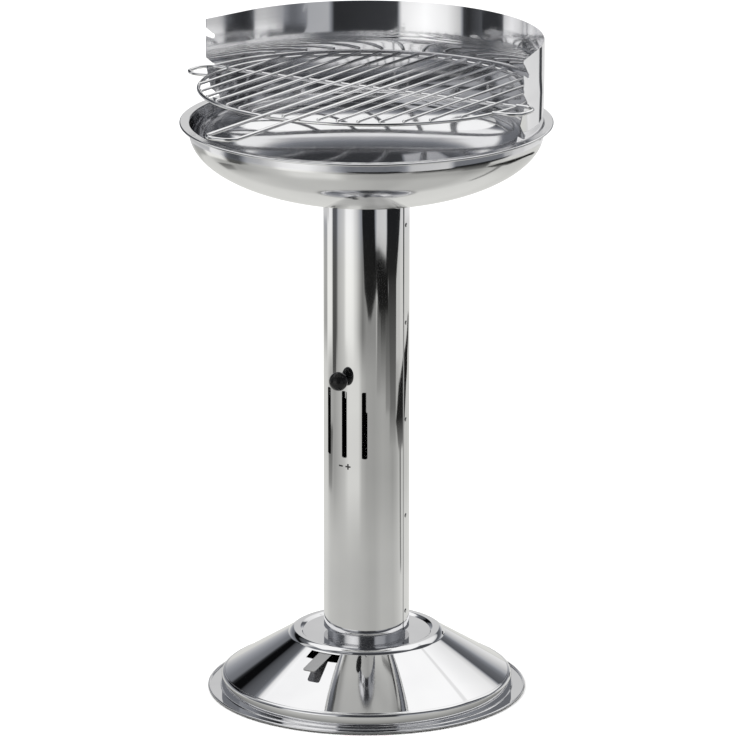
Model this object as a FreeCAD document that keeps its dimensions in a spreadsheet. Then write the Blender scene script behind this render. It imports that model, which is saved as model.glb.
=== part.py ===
import FreeCAD, Part
import Sketcher
import math
import os

# Free-standing pillar grill: spun foot, round column, spun fire bowl,
# half-round windshield and a hooked-in cooking grid.
# +Z is up, millimetres. The origin is on the floor, on the column's axis.
# The front, with the air slots, the knob and the long handle, faces -Y.

V = FreeCAD.Vector
Rot = FreeCAD.Rotation
Pl = FreeCAD.Placement

doc = FreeCAD.newDocument("PillarGrill")
sheet = doc.addObject("Spreadsheet::Sheet", "Dims")

# alias, value, meaning
CELLS = [
    ("sheet_t", 1.0, "sheet thickness of foot and bowl"),
    # foot
    ("foot_r", 195.7, "centre radius of the rolled edge"),
    ("foot_roll", 1.6, "radius of the rolled edge"),
    ("flange_t", 1.2, "thickness of the flat flange"),
    ("step_r", 180.5, "outer radius of the upright step"),
    ("step_top", 16.0, "height of the step"),
    ("cone_low_r", 176.0, "radius where the cone starts"),
    ("cone_low_z", 20.3, "height where the cone starts"),
    ("cone_top_r", 97.0, "radius where the cone ends at the bead"),
    ("cone_top_z", 69.5, "height where the cone ends"),
    ("plate_r", 79.0, "radius of the flat middle plate"),
    ("plate_z", 72.0, "top of the flat middle plate"),
    ("bead_arc", 11.6, "radius of the bead"),
    ("base_bolt_ring", 41.5, "bolt circle radius"),
    ("base_bolt_r", 2.5, "bolt shank radius"),
    ("vent_in", 11.0, "inner radius of the ash openings"),
    ("vent_out", 33.0, "outer radius of the ash openings"),
    ("vent_half", 6.0, "half angle of one ash opening"),
    ("vent_count", 10, "number of ash openings"),
    ("window_half", 11.8, "half angle of the lever window"),
    ("window_low", 61.4, "lower edge of the lever window"),
    ("window_high", 68.3, "upper edge of the lever window"),
    # shutter under the middle plate
    ("disc_r", 34.6, "shutter disc radius"),
    ("disc_t", 1.2, "shutter disc thickness"),
    ("disc_z", 69.6, "underside of the shutter disc"),
    ("lever_t", 1.5, "lever thickness"),
    ("lever_half", 9.0, "half width of the lever"),
    ("lever_in", 13.0, "inner end of the lever"),
    ("lever_bend", 90.0, "radius where the lever bends down"),
    ("lever_out", 138.0, "outer end of the lever"),
    ("lever_drop", 15.0, "downward angle of the lever"),
    ("pivot_r", 3.0, "pivot shank radius"),
    ("pivot_run", 0.05, "running clearance of the disc on the pivot"),
    ("shut_rivet_r", 1.6, "rivet radius"),
    # ash pan
    ("pan_r", 112.0, "radius of the pan's floor"),
    ("pan_top_r", 121.0, "radius of the pan's rim"),
    ("pan_top", 27.0, "height where the pan's rolled rim starts"),
    ("pan_t", 0.8, "sheet thickness of the pan"),
    ("pan_roll", 1.6, "radius of the pan's rolled rim"),
    # column
    ("col_r", 53.0, "outer radius of the column"),
    ("col_t", 1.0, "wall of the column"),
    ("col_low", 79.9, "lower end of the column"),
    ("col_top", 629.0, "upper end of the column"),
    ("neck_r", 48.3, "outer radius of the neck under the column"),
    ("ring_t", 1.2, "thickness of both mounting rings"),
    ("ring_gap", 0.05, "gap between the rings and the column"),
    ("ring_in", 36.0, "inner radius of the mounting rings' flanges"),
    ("ring_len", 20.0, "length of the mounting rings' collars"),
    ("slot_w", 7.0, "width of an air slot"),
    ("slot_len", 85.0, "length of an air slot"),
    ("slot_mid", 350.0, "height of the middle of the air slots"),
    ("slot_pitch", 28.5, "angle between air slots"),
    ("lap_start", 90.0, "angle where the seam's outer edge lies"),
    ("lap_span", 9.5, "angle of the seam's overlap"),
    ("lap_t", 0.8, "step of the overlap"),
    ("rivet_low", 104.0, "height of the lowest seam rivet"),
    ("rivet_pitch", 123.2, "distance between the seam rivets"),
    ("rivet_count", 5, "number of seam rivets"),
    ("rivet_r", 1.5, "seam rivet shank radius"),
    ("rivet_head", 2.7, "seam rivet head radius"),
    # air damper
    ("damper_gap", 0.3, "gap between damper sleeve and column"),
    ("damper_t", 0.8, "damper sleeve thickness"),
    ("damper_low", 297.0, "lower edge of the damper sleeve"),
    ("damper_top", 424.0, "upper edge of the damper sleeve"),
    ("damper_half", 64.0, "half angle of the damper sleeve"),
    ("knob_z", 408.0, "height of the damper knob"),
    ("knob_turn", 9.0, "damper travel in degrees"),
    ("stem_r", 2.0, "damper stem radius"),
    ("knob_r", 11.6, "knob radius"),
    ("knob_out", 66.8, "distance of the knob's centre from the axis"),
    # fire bowl
    ("bowl_a", 216.5, "outer radius of the bowl's body"),
    ("bowl_b", 84.7, "half height of the bowl's oval section"),
    ("bowl_z", 710.6, "height of the oval's centre"),
    ("bowl_floor", 629.2, "underside of the bowl's flat floor"),
    ("floor_r", 60.5, "radius of the bowl's flat floor"),
    ("draft_r", 33.0, "radius of the draft opening in the bowl's floor"),
    ("lip_z", 722.3, "top of the bowl's lip"),
    ("lip_r", 226.1, "centre radius of the lip's rolled edge"),
    ("lip_roll", 1.5, "radius of the lip's rolled edge"),
    ("bowl_bolt_ring", 43.0, "bolt circle radius in the bowl's floor"),
    ("bowl_bolt_r", 3.0, "bolt shank radius"),
    # windshield
    ("wind_r", 215.3, "outer radius of the windshield"),
    ("wind_t", 0.8, "windshield sheet thickness"),
    ("wind_low", 708.0, "lower edge of the windshield"),
    ("wind_top", 824.5, "upper edge of the windshield"),
    ("wind_wide", 216.4, "outer radius of the windshield above the bowl"),
    ("wind_bend_z", 722.6, "height where the windshield starts to lean out"),
    ("wind_full_z", 765.0, "height where the windshield has reached its full spread"),
    ("wind_flat", 14.3, "angle from the side axis where each flat end starts"),
    ("wind_end_y", 8.6, "reach of the windshield's ends before the axis"),
    ("notch_pitch", 37.9, "distance between the three notch heights"),
    ("seat_y", 6.3, "distance of the notch seats behind the axis"),
    ("seat_z", 760.4, "lowest point of the middle notch seat"),
    ("seat_r", 3.2, "radius of a notch seat"),
    ("lip_rise", 6.4, "rise of the notch's lower edge at the mouth"),
    ("mouth_rise", 18.6, "rise of the notch's upper edge at the mouth"),
    ("wind_screw_z", 714.5, "height of the windshield screws"),
    ("wind_screw_deg", 55.0, "angle of the outer screws from the back"),
    ("wind_screw_r", 2.5, "windshield screw radius"),
    # cooking grid
    ("grid_tilt", 1.15, "fall of the cooking grid towards the back"),
    ("grid_turn", 0.9, "turn of the cooking grid and its notches about the axis"),
    ("grid_z", 761.7, "height of the ring and the cross rod, before the grid is tilted"),
    ("grid_r", 204.3, "centre radius of the ring"),
    ("grid_wire", 2.3, "ring wire radius"),
    ("bar_wire", 1.75, "bar wire radius"),
    ("bar_pitch", 22.5, "distance between the bars"),
    ("bar_shift", 3.0, "distance of the middle bar from the axis"),
    ("bar_z", 765.1, "height of the bars"),
    ("rod_wire", 2.3, "cross rod wire radius"),
    ("rod_y", 7.2, "distance of the cross rod behind the axis"),
    ("loop_z", 763.2, "height of the side loops"),
    ("loop_x", 234.5, "outer reach of the side loops"),
    ("loop_y", 44.0, "front leg of the side loops, before the axis"),
    ("loop_bend", 20.0, "bend radius of the side loops"),
    ("handle_half", 20.8, "half distance between the handle's legs"),
    ("handle_z", 765.3, "height of the front handle wire"),
    ("handle_y", 354.0, "front end of the handle, before the axis"),
    ("handle_bend", 16.0, "bend radius of the front handle"),
    # charcoal grate
    ("coal_r", 100.0, "centre radius of the charcoal grate's ring"),
    ("coal_z", 639.3, "height of the charcoal grate's ring"),
    ("coal_wire", 2.5, "charcoal grate ring wire radius"),
    ("coal_bar", 2.0, "charcoal grate bar radius"),
    ("coal_pitch", 18.0, "distance between the charcoal grate's bars"),
    ("coal_bar_z", 643.5, "height of the charcoal grate's bars"),
]
for i, (alias, value, note) in enumerate(CELLS):
    sheet.set("A%d" % (i + 1), note)
    sheet.set("B%d" % (i + 1), str(value))
    sheet.setAlias("B%d" % (i + 1), alias)
doc.recompute()


class Q:
    """A number together with the sheet expression that gives it."""

    def __init__(self, v, s):
        self.v, self.s = float(v), s

    @staticmethod
    def of(x):
        return x if isinstance(x, Q) else Q(x, "%.6g" % x)

    def __add__(self, o):
        o = Q.of(o)
        return Q(self.v + o.v, "(%s + %s)" % (self.s, o.s))

    def __radd__(self, o):
        return Q.of(o) + self

    def __sub__(self, o):
        o = Q.of(o)
        return Q(self.v - o.v, "(%s - %s)" % (self.s, o.s))

    def __rsub__(self, o):
        return Q.of(o) - self

    def __mul__(self, o):
        o = Q.of(o)
        return Q(self.v * o.v, "(%s * %s)" % (self.s, o.s))

    def __rmul__(self, o):
        return Q.of(o) * self

    def __truediv__(self, o):
        o = Q.of(o)
        return Q(self.v / o.v, "(%s / %s)" % (self.s, o.s))

    def __neg__(self):
        return Q(-self.v, "(0 - %s)" % self.s)


def qsin(a):
    a = Q.of(a)
    return Q(math.sin(math.radians(a.v)), "sin(%s)" % a.s)


def qcos(a):
    a = Q.of(a)
    return Q(math.cos(math.radians(a.v)), "cos(%s)" % a.s)


def qtan(a):
    a = Q.of(a)
    return Q(math.tan(math.radians(a.v)), "tan(%s)" % a.s)


def qsqrt(a):
    a = Q.of(a)
    return Q(math.sqrt(a.v), "sqrt(%s)" % a.s)


D = {alias: Q(value, "Dims.%s" % alias) for alias, value, note in CELLS}
NODES = []


def bind(obj, prop, q):
    q = Q.of(q)
    obj.setExpression(prop, q.s)


def plane(body, role):
    for f in body.Origin.OriginFeatures:
        if f.Role == role:
            return f
    raise RuntimeError(role)


def new_body(label):
    body = doc.addObject("PartDesign::Body", label)
    body.Label = label
    if "AllowCompound" in body.PropertiesList:
        body.AllowCompound = True
    NODES.append(body)
    return body


def sketch(body, name, role, offset=None, turn=None):
    """A sketch on one of the body's origin planes, moved by offset along the plane's normal."""
    sk = body.newObject("Sketcher::SketchObject", name)
    sk.AttachmentSupport = [(plane(body, role), "")]
    sk.MapMode = "FlatFace"
    if turn is not None:
        sk.AttachmentOffset = Pl(V(0, 0, 0), turn)
    if offset is not None:
        offset = Q.of(offset)
        sk.AttachmentOffset = Pl(V(0, 0, offset.v), turn or Rot())
        sk.setExpression("AttachmentOffset.Base.z", offset.s)
    return sk


def dim(sk, kind, geo, pos, q):
    q = Q.of(q)
    if kind == "Radius":
        i = sk.addConstraint(Sketcher.Constraint("Radius", geo, q.v))
    elif abs(q.v) < 1e-9:
        # a point on an axis
        i = sk.addConstraint(
            Sketcher.Constraint(
                "PointOnObject", geo, pos, -2 if kind == "DistanceX" else -1
            )
        )
        return
    else:
        i = sk.addConstraint(Sketcher.Constraint(kind, -1, 1, geo, pos, q.v))
    sk.setExpression("Constraints[%d]" % i, q.s)


def arc_centre(p, q, r, left, major):
    """Centre of an arc of radius r from p to q, with the centre on the left or right of the chord."""
    mx, my = (p[0] + q[0]) / 2, (p[1] + q[1]) / 2
    dx, dy = q[0] - p[0], q[1] - p[1]
    c = math.hypot(dx, dy)
    off = math.sqrt(max(r * r - c * c / 4, 0.0))
    if major:
        off = -off
    nx, ny = -dy / c, dx / c
    if not left:
        nx, ny = -nx, -ny
    return mx + nx * off, my + ny * off


def outline(sk, pts, close=True):
    """Lines and arcs through pts. An item is (x, y) or (x, y, arc), where arc is (radius, turns_left, major)
    for the arc that leads from this point to the next one. Every point is tied to the sheet."""
    n = len(pts)
    last = n if close else n - 1
    ends = []
    for i in range(last):
        a, b = pts[i], pts[(i + 1) % n]
        ax, ay, bx, by = [Q.of(k).v for k in (a[0], a[1], b[0], b[1])]
        arc = a[2] if len(a) > 2 else None
        if arc is None:
            g = sk.addGeometry(Part.LineSegment(V(ax, ay, 0), V(bx, by, 0)), False)
            ends.append((g, 1, 2))
        else:
            r, left, major = arc
            dome = r is None
            if dome:
                # the arc ends on the turning axis and is centred on it
                cx = 0.0
                cy = (by * by - ax * ax - ay * ay) / (2 * (by - ay))
                r = Q(by - cy, "")
            else:
                r = Q.of(r)
                cx, cy = arc_centre((ax, ay), (bx, by), r.v, left, major)
            a0, a1 = math.atan2(ay - cy, ax - cx), math.atan2(by - cy, bx - cx)
            # a left turn runs counter-clockwise from a to b
            if left:
                if a1 <= a0:
                    a1 += 2 * math.pi
                g = sk.addGeometry(
                    Part.ArcOfCircle(
                        Part.Circle(V(cx, cy, 0), V(0, 0, 1), r.v), a0, a1
                    ),
                    False,
                )
                ends.append((g, 1, 2))
            else:
                if a0 <= a1:
                    a0 += 2 * math.pi
                g = sk.addGeometry(
                    Part.ArcOfCircle(
                        Part.Circle(V(cx, cy, 0), V(0, 0, 1), r.v), a1, a0
                    ),
                    False,
                )
                ends.append((g, 2, 1))
            if dome:
                dim(sk, "DistanceX", g, 3, 0.0)
            elif abs(r.v * 2 - math.hypot(bx - ax, by - ay)) > 1e-3:
                dim(sk, "Radius", g, 0, r)
            elif abs(bx - ax) < abs(by - ay):
                # a half circle: its centre lies on the chord
                dim(sk, "DistanceX", g, 3, a[0])
            else:
                dim(sk, "DistanceY", g, 3, a[1])
    for i in range(last):
        g, s, e = ends[i]
        dim(sk, "DistanceX", g, s, pts[i][0])
        dim(sk, "DistanceY", g, s, pts[i][1])
        if i + 1 < last or close:
            g2, s2, e2 = ends[(i + 1) % last]
            sk.addConstraint(Sketcher.Constraint("Coincident", g, e, g2, s2))
    if not close:
        g, s, e = ends[-1]
        dim(sk, "DistanceX", g, e, pts[-1][0])
        dim(sk, "DistanceY", g, e, pts[-1][1])
    return sk


def circle(sk, x, y, r):
    r = Q.of(r)
    g = sk.addGeometry(
        Part.Circle(V(Q.of(x).v, Q.of(y).v, 0), V(0, 0, 1), r.v), False
    )
    dim(sk, "DistanceX", g, 3, x)
    dim(sk, "DistanceY", g, 3, y)
    dim(sk, "Radius", g, 0, r)
    return g


def hexagon(sk, x, y, flat):
    """A hexagon, flat to flat distance 2 * flat, centred at x, y."""
    flat = Q.of(flat)
    side = flat / qcos(30)
    pts = []
    for k in range(6):
        a = 60.0 * k
        pts.append((Q.of(x) + side * qcos(a), Q.of(y) + side * qsin(a)))
    outline(sk, pts)


def revolve(body, sk, name):
    f = body.newObject("PartDesign::Revolution", name)
    f.Profile = sk
    f.ReferenceAxis = (sk, ["V_Axis"])
    f.Angle = 360
    sk.Visibility = False
    body.Tip = f
    return f


def pad(body, sk, name, length, midplane=False, reverse=False):
    f = body.newObject("PartDesign::Pad", name)
    f.Profile = sk
    f.Length = Q.of(length).v
    bind(f, "Length", length)
    if midplane:
        if "SideType" in f.PropertiesList:
            f.SideType = "Symmetric"
        else:
            f.Midplane = True
    f.Reversed = reverse
    body.Tip = f
    return f


def pocket(body, sk, name, length, reverse=False, midplane=False, removes=True):
    doc.recompute()
    before = body.Tip.Shape.Volume
    f = body.newObject("PartDesign::Pocket", name)
    f.Profile = sk
    f.Length = Q.of(length).v
    bind(f, "Length", length)
    if midplane:
        if "SideType" in f.PropertiesList:
            f.SideType = "Symmetric"
        else:
            f.Midplane = True
    f.Reversed = reverse
    body.Tip = f
    doc.recompute()
    if removes and not f.Shape.Volume < before - 0.5:
        raise RuntimeError("%s in %s cuts nothing" % (name, body.Label))
    return f


def polar(body, features, name, count, angle=360.0):
    f = body.newObject("PartDesign::PolarPattern", name)
    f.Originals = features
    f.Axis = (plane(body, "Z_Axis"), [""])
    f.Angle = Q.of(angle).v
    if isinstance(angle, Q):
        bind(f, "Angle", angle)
    f.Occurrences = int(Q.of(count).v)
    if isinstance(count, Q):
        bind(f, "Occurrences", count)
    body.Tip = f
    return f


def solids_of(obj):
    return len(obj.Shape.Solids)


def expect_solids(obj, n):
    doc.recompute()
    if solids_of(obj) != n:
        raise RuntimeError("%s has %d solids, not %d" % (obj.Label, solids_of(obj), n))


def ring_pts(r0, r1, z0, z1):
    return [(r0, z0), (r1, z0), (r1, z1), (r0, z1)]


def sector(sk, r0, r1, mid, half):
    """A four-cornered patch between two radii, centred on the angle mid (from +X)."""
    mid, half = Q.of(mid), Q.of(half)
    outline(
        sk,
        [
            (r0 * qcos(mid - half), r0 * qsin(mid - half)),
            (r1 * qcos(mid - half), r1 * qsin(mid - half)),
            (r1 * qcos(mid + half), r1 * qsin(mid + half)),
            (r0 * qcos(mid + half), r0 * qsin(mid + half)),
        ],
    )


# ---------------------------------------------------------------- foot
T = D["sheet_t"]
body = new_body("base_foot")
sk = sketch(body, "FootProfile", "XZ_Plane")
bead_half = (D["cone_top_r"] - D["plate_r"]) / 2
outline(
    sk,
    [
        (Q.of(0), D["plate_z"] - T),
        (D["plate_r"] + 0.5, D["plate_z"] - T, (D["bead_arc"] - T, False, False)),
        (D["cone_top_r"] - 0.6, D["cone_top_z"] - T),
        (D["cone_low_r"] - 0.6, D["cone_low_z"] - T, (3.5, False, False)),
        (D["step_r"] - T, D["step_top"] - 0.6),
        (D["step_r"] - T, Q.of(0)),
        (D["foot_r"], Q.of(0), (D["foot_roll"], True, True)),
        (D["foot_r"] - 1.55, D["flange_t"]),
        (D["step_r"] + 1.6, D["flange_t"], (1.6, False, False)),
        (D["step_r"], D["flange_t"] + 1.6),
        (D["step_r"], D["step_top"], (4.5, True, False)),
        (D["cone_low_r"], D["cone_low_z"]),
        (D["cone_top_r"], D["cone_top_z"], (D["bead_arc"], True, False)),
        (D["plate_r"], D["plate_z"]),
        (Q.of(0), D["plate_z"]),
    ],
)
revolve(body, sk, "FootSpun")
sk = sketch(body, "LeverWindow", "XY_Plane", D["window_low"])
sector(sk, Q.of(92.0), Q.of(118.0), -90.0, D["window_half"])
pocket(body, sk, "LeverWindowCut", D["window_high"] - D["window_low"], reverse=True)
sk = sketch(body, "AshOpening", "XY_Plane", D["plate_z"] + 1)
sector(sk, D["vent_in"], D["vent_out"], 18.0, D["vent_half"])
f = pocket(body, sk, "AshOpeningCut", Q.of(4.0))
polar(body, [f], "AshOpenings", D["vent_count"])
sk = sketch(body, "FootBoltHole", "XY_Plane", D["plate_z"] + 1)
circle(
    sk,
    D["base_bolt_ring"] * qcos(45),
    D["base_bolt_ring"] * qsin(45),
    D["base_bolt_r"] + 0.25,
)
f = pocket(body, sk, "FootBoltHoleCut", Q.of(4.0))
polar(body, [f], "FootBoltHoles", 4)
sk = sketch(body, "PivotHole", "XY_Plane", D["plate_z"] + 1)
circle(sk, 0.0, 0.0, D["pivot_r"])
pocket(body, sk, "PivotHoleCut", Q.of(4.0))
expect_solids(body, 1)

# ---------------------------------------------------------------- ash pan
body = new_body("ash_pan")
sk = sketch(body, "PanProfile", "XZ_Plane")
outline(
    sk,
    [
        (Q.of(0), Q.of(0)),
        (D["pan_r"], Q.of(0), (4.0, True, False)),
        (D["pan_r"] + 3.4, Q.of(3.0)),
        (D["pan_top_r"], D["pan_top"], (D["pan_roll"], True, True)),
        (D["pan_top_r"] - D["pan_t"], D["pan_top"]),
        (D["pan_r"] + 2.6, Q.of(3.2), (3.2, False, False)),
        (D["pan_r"], D["pan_t"]),
        (Q.of(0), D["pan_t"]),
    ],
)
revolve(body, sk, "PanSpun")
expect_solids(body, 1)

# ---------------------------------------------------------------- ash shutter
body = new_body("shutter_disc")
sk = sketch(body, "DiscOutline", "XY_Plane", D["disc_z"])
circle(sk, 0.0, 0.0, D["disc_r"])
circle(sk, 0.0, 0.0, D["pivot_r"] + D["pivot_run"])
pad(body, sk, "DiscPad", D["disc_t"])
sk = sketch(body, "DiscOpening", "XY_Plane", D["disc_z"] + 3)
sector(sk, D["vent_in"], D["vent_out"], 18.0 - D["vent_half"], D["vent_half"])
f = pocket(body, sk, "DiscOpeningCut", Q.of(6.0))
polar(body, [f], "DiscOpenings", D["vent_count"])
sk = sketch(body, "DiscRivetHoles", "XY_Plane", D["disc_z"] + 3)
circle(sk, 0.0, Q.of(-17.0), D["shut_rivet_r"])
circle(sk, 0.0, Q.of(-28.0), D["shut_rivet_r"])
pocket(body, sk, "DiscRivetHolesCut", Q.of(6.0))
expect_solids(body, 1)

LZ = D["disc_z"] - D["lever_t"]
body = new_body("shutter_lever")
sk = sketch(body, "LeverProfile", "YZ_Plane")
run = D["lever_out"] - D["lever_bend"]
drop = run * qtan(D["lever_drop"])
outline(
    sk,
    [
        (-D["lever_in"], LZ),
        (-D["lever_in"], D["disc_z"]),
        (-D["lever_bend"], D["disc_z"]),
        (-D["lever_out"], D["disc_z"] - drop),
        (-D["lever_out"], LZ - drop),
        (-D["lever_bend"], LZ),
    ],
)
pad(body, sk, "LeverPad", D["lever_half"] * 2, midplane=True)
sk = sketch(body, "LeverRivetHoles", "XY_Plane", D["disc_z"] + 3)
circle(sk, 0.0, Q.of(-17.0), D["shut_rivet_r"])
circle(sk, 0.0, Q.of(-28.0), D["shut_rivet_r"])
pocket(body, sk, "LeverRivetHolesCut", Q.of(8.0))
expect_solids(body, 1)

body = new_body("shutter_rivets")
sk = sketch(body, "ShutRivetShanks", "XY_Plane", LZ - 1.0)
circle(sk, 0.0, Q.of(-17.0), D["shut_rivet_r"])
circle(sk, 0.0, Q.of(-28.0), D["shut_rivet_r"])
pad(body, sk, "ShutRivetShankPad", D["lever_t"] + D["disc_t"] + 1.0)
sk = sketch(body, "ShutRivetHeads", "XY_Plane", LZ - 1.4)
circle(sk, 0.0, Q.of(-17.0), D["shut_rivet_r"] + 1.6)
circle(sk, 0.0, Q.of(-28.0), D["shut_rivet_r"] + 1.6)
pad(body, sk, "ShutRivetHeadPad", Q.of(1.4))
expect_solids(body, 2)

body = new_body("shutter_pivot")
sk = sketch(body, "PivotProfile", "XZ_Plane")
outline(
    sk,
    [
        (Q.of(0), D["disc_z"] - 3.6),
        (Q.of(5.0), D["disc_z"] - 3.6),
        (Q.of(6.5), D["disc_z"] - 2.4),
        (Q.of(6.5), D["disc_z"] - 1.4),
        (D["pivot_r"], D["disc_z"] - 1.4),
        (D["pivot_r"], D["plate_z"]),
        (Q.of(5.6), D["plate_z"]),
        (Q.of(4.4), D["plate_z"] + 1.5),
        (Q.of(0), D["plate_z"] + 1.9),
    ],
)
revolve(body, sk, "PivotTurned")
expect_solids(body, 1)

body = new_body("shutter_spring_washer")
sk = sketch(body, "WasherProfile", "XZ_Plane")
outline(
    sk,
    [
        (D["pivot_r"] + 0.3, D["disc_z"] - 0.6),
        (Q.of(7.6), D["disc_z"] - 1.4),
        (Q.of(7.8), D["disc_z"] - 1.0),
        (D["pivot_r"] + 0.5, D["disc_z"] - 0.15),
    ],
)
revolve(body, sk, "WasherFormed")
expect_solids(body, 1)

# ---------------------------------------------------------------- column and its two mounting rings
CI = D["col_r"] - D["col_t"]
RO = CI - D["ring_gap"]
body = new_body("column_bottom_ring")
sk = sketch(body, "LowRingProfile", "XZ_Plane")
outline(
    sk,
    [
        (D["ring_in"], D["plate_z"]),
        (D["neck_r"], D["plate_z"]),
        (D["neck_r"], D["col_low"] - D["ring_t"]),
        (D["col_r"], D["col_low"] - D["ring_t"]),
        (D["col_r"], D["col_low"]),
        (RO, D["col_low"]),
        (RO, D["col_low"] + D["ring_len"]),
        (RO - D["ring_t"], D["col_low"] + D["ring_len"]),
        (RO - D["ring_t"], D["col_low"]),
        (D["neck_r"] - D["ring_t"], D["col_low"]),
        (D["neck_r"] - D["ring_t"], D["plate_z"] + D["ring_t"]),
        (D["ring_in"], D["plate_z"] + D["ring_t"]),
    ],
)
revolve(body, sk, "LowRingFormed")
sk = sketch(body, "LowRingHole", "XY_Plane", D["plate_z"] + 3)
circle(
    sk,
    D["base_bolt_ring"] * qcos(45),
    D["base_bolt_ring"] * qsin(45),
    D["base_bolt_r"] + 0.25,
)
f = pocket(body, sk, "LowRingHoleCut", Q.of(5.0))
polar(body, [f], "LowRingHoles", 4)
expect_solids(body, 1)

body = new_body("column_top_ring")
FL = D["bowl_floor"]
sk = sketch(body, "TopRingProfile", "XZ_Plane")
outline(
    sk,
    [
        (D["ring_in"] + 1, FL - D["ring_t"]),
        (RO - D["ring_t"], FL - D["ring_t"]),
        (RO - D["ring_t"], FL - D["ring_len"] - 5),
        (RO, FL - D["ring_len"] - 5),
        (RO, FL),
        (D["ring_in"] + 1, FL),
    ],
)
revolve(body, sk, "TopRingFormed")
sk = sketch(body, "TopRingHole", "XY_Plane", FL + 1)
circle(
    sk,
    D["bowl_bolt_ring"] * qcos(45),
    D["bowl_bolt_ring"] * qsin(45),
    D["bowl_bolt_r"] + 0.25,
)
f = pocket(body, sk, "TopRingHoleCut", Q.of(5.0))
polar(body, [f], "TopRingHoles", 4)
expect_solids(body, 1)

body = new_body("column_tube")
sk = sketch(body, "TubeRings", "XY_Plane", D["col_low"])
circle(sk, 0.0, 0.0, D["col_r"])
circle(sk, 0.0, 0.0, CI)
pad(body, sk, "TubePad", D["col_top"] - D["col_low"])
# the overlapping seam, on the right-hand side
sk = sketch(body, "SeamLap", "XY_Plane", D["col_low"])
a0 = D["lap_start"] - 90
a1 = a0 + D["lap_span"]
r0, r1 = D["col_r"] - 0.5, D["col_r"] + D["lap_t"]
outline(
    sk,
    [
        (r0 * qcos(a0), r0 * qsin(a0)),
        (r1 * qcos(a0), r1 * qsin(a0), (r1, True, False)),
        (r1 * qcos(a1), r1 * qsin(a1)),
        (r0 * qcos(a1 + 1.5), r0 * qsin(a1 + 1.5), (r0, False, False)),
    ],
)
pad(body, sk, "SeamLapPad", D["col_top"] - D["col_low"])
doc.recompute()
# air slots: the first one, then the other two at the same pitch
sk = sketch(body, "AirSlot", "XZ_Plane", turn=Rot(V(0, -1, 0), D["slot_pitch"].v))
sk.setExpression("AttachmentOffset.Rotation.Angle", D["slot_pitch"].s)
w2, l2 = D["slot_w"] / 2, D["slot_len"] / 2
outline(
    sk,
    [
        (w2, D["slot_mid"] - l2 + 2),
        (w2, D["slot_mid"] + l2 - 2, (2.0, True, False)),
        (w2 - 2, D["slot_mid"] + l2),
        (-w2 + 2, D["slot_mid"] + l2, (2.0, True, False)),
        (-w2, D["slot_mid"] + l2 - 2),
        (-w2, D["slot_mid"] - l2 + 2, (2.0, True, False)),
        (-w2 + 2, D["slot_mid"] - l2),
        (w2 - 2, D["slot_mid"] - l2, (2.0, True, False)),
    ],
)
f = pocket(body, sk, "AirSlotCut", Q.of(70.0), reverse=True)
polar(body, [f], "AirSlots", 3, D["slot_pitch"] * 2)
sk = sketch(body, "KnobSlot", "XZ_Plane")
kz = D["knob_z"]
half = D["stem_r"] + 0.3
x_left = D["col_r"] * qsin(-D["knob_turn"]) - 0.1
outline(
    sk,
    [
        (Q.of(0), kz - half, (half, True, False)),
        (Q.of(0), kz + half),
        (x_left, kz + half, (half, True, False)),
        (x_left, kz - half),
    ],
)
pocket(body, sk, "KnobSlotCut", Q.of(70.0), reverse=True)
# rivet holes down the seam
sk = sketch(
    body,
    "RivetHole",
    "YZ_Plane",
    turn=Rot(V(0, 1, 0), D["lap_span"].v / 2),
)
circle(sk, 0.0, D["rivet_low"], D["rivet_r"])
f = pocket(body, sk, "RivetHoleCut", Q.of(70.0), reverse=True)
lp = body.newObject("PartDesign::LinearPattern", "RivetHoles")
lp.Originals = [f]
lp.Direction = (plane(body, "Z_Axis"), [""])
lp.Length = D["rivet_pitch"].v * (D["rivet_count"].v - 1)
lp.setExpression("Length", "Dims.rivet_pitch * (Dims.rivet_count - 1)")
lp.Occurrences = int(D["rivet_count"].v)
bind(lp, "Occurrences", D["rivet_count"])
body.Tip = lp
expect_solids(body, 1)

# seam rivets: one modelled lying along the body's own Z, then repeated
body = new_body("seam_rivets")
sk = sketch(body, "RivetProfile", "XZ_Plane")
top = D["col_r"] + D["lap_t"]
outline(
    sk,
    [
        (Q.of(0), CI - 1.0),
        (D["rivet_head"] - 0.8, CI - 1.0),
        (D["rivet_head"] - 0.2, CI - 0.07),
        (D["rivet_r"], CI - 0.07),
        (D["rivet_r"], top),
        (D["rivet_head"], top, (None, True, False)),
        (Q.of(0), top + 1.0),
    ],
)
rv = revolve(body, sk, "RivetFormed")
lp = body.newObject("PartDesign::LinearPattern", "RivetRow")
lp.Originals = [rv]
lp.Direction = (plane(body, "X_Axis"), [""])
lp.Length = D["rivet_pitch"].v * (D["rivet_count"].v - 1)
lp.setExpression("Length", "Dims.rivet_pitch * (Dims.rivet_count - 1)")
lp.Occurrences = int(D["rivet_count"].v)
bind(lp, "Occurrences", D["rivet_count"])
body.Tip = lp
# local Z points outwards at the seam, local X points up
ang = math.radians(D["lap_span"].v / 2)
zl = V(math.cos(ang), math.sin(ang), 0)
xl = V(0, 0, 1)
yl = zl.cross(xl)
body.Placement = Pl(
    V(0, 0, D["rivet_low"].v), Rot(xl, yl, zl, "ZXY")
)
body.setExpression("Placement.Base.z", "Dims.rivet_low")
expect_solids(body, 5)


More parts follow.
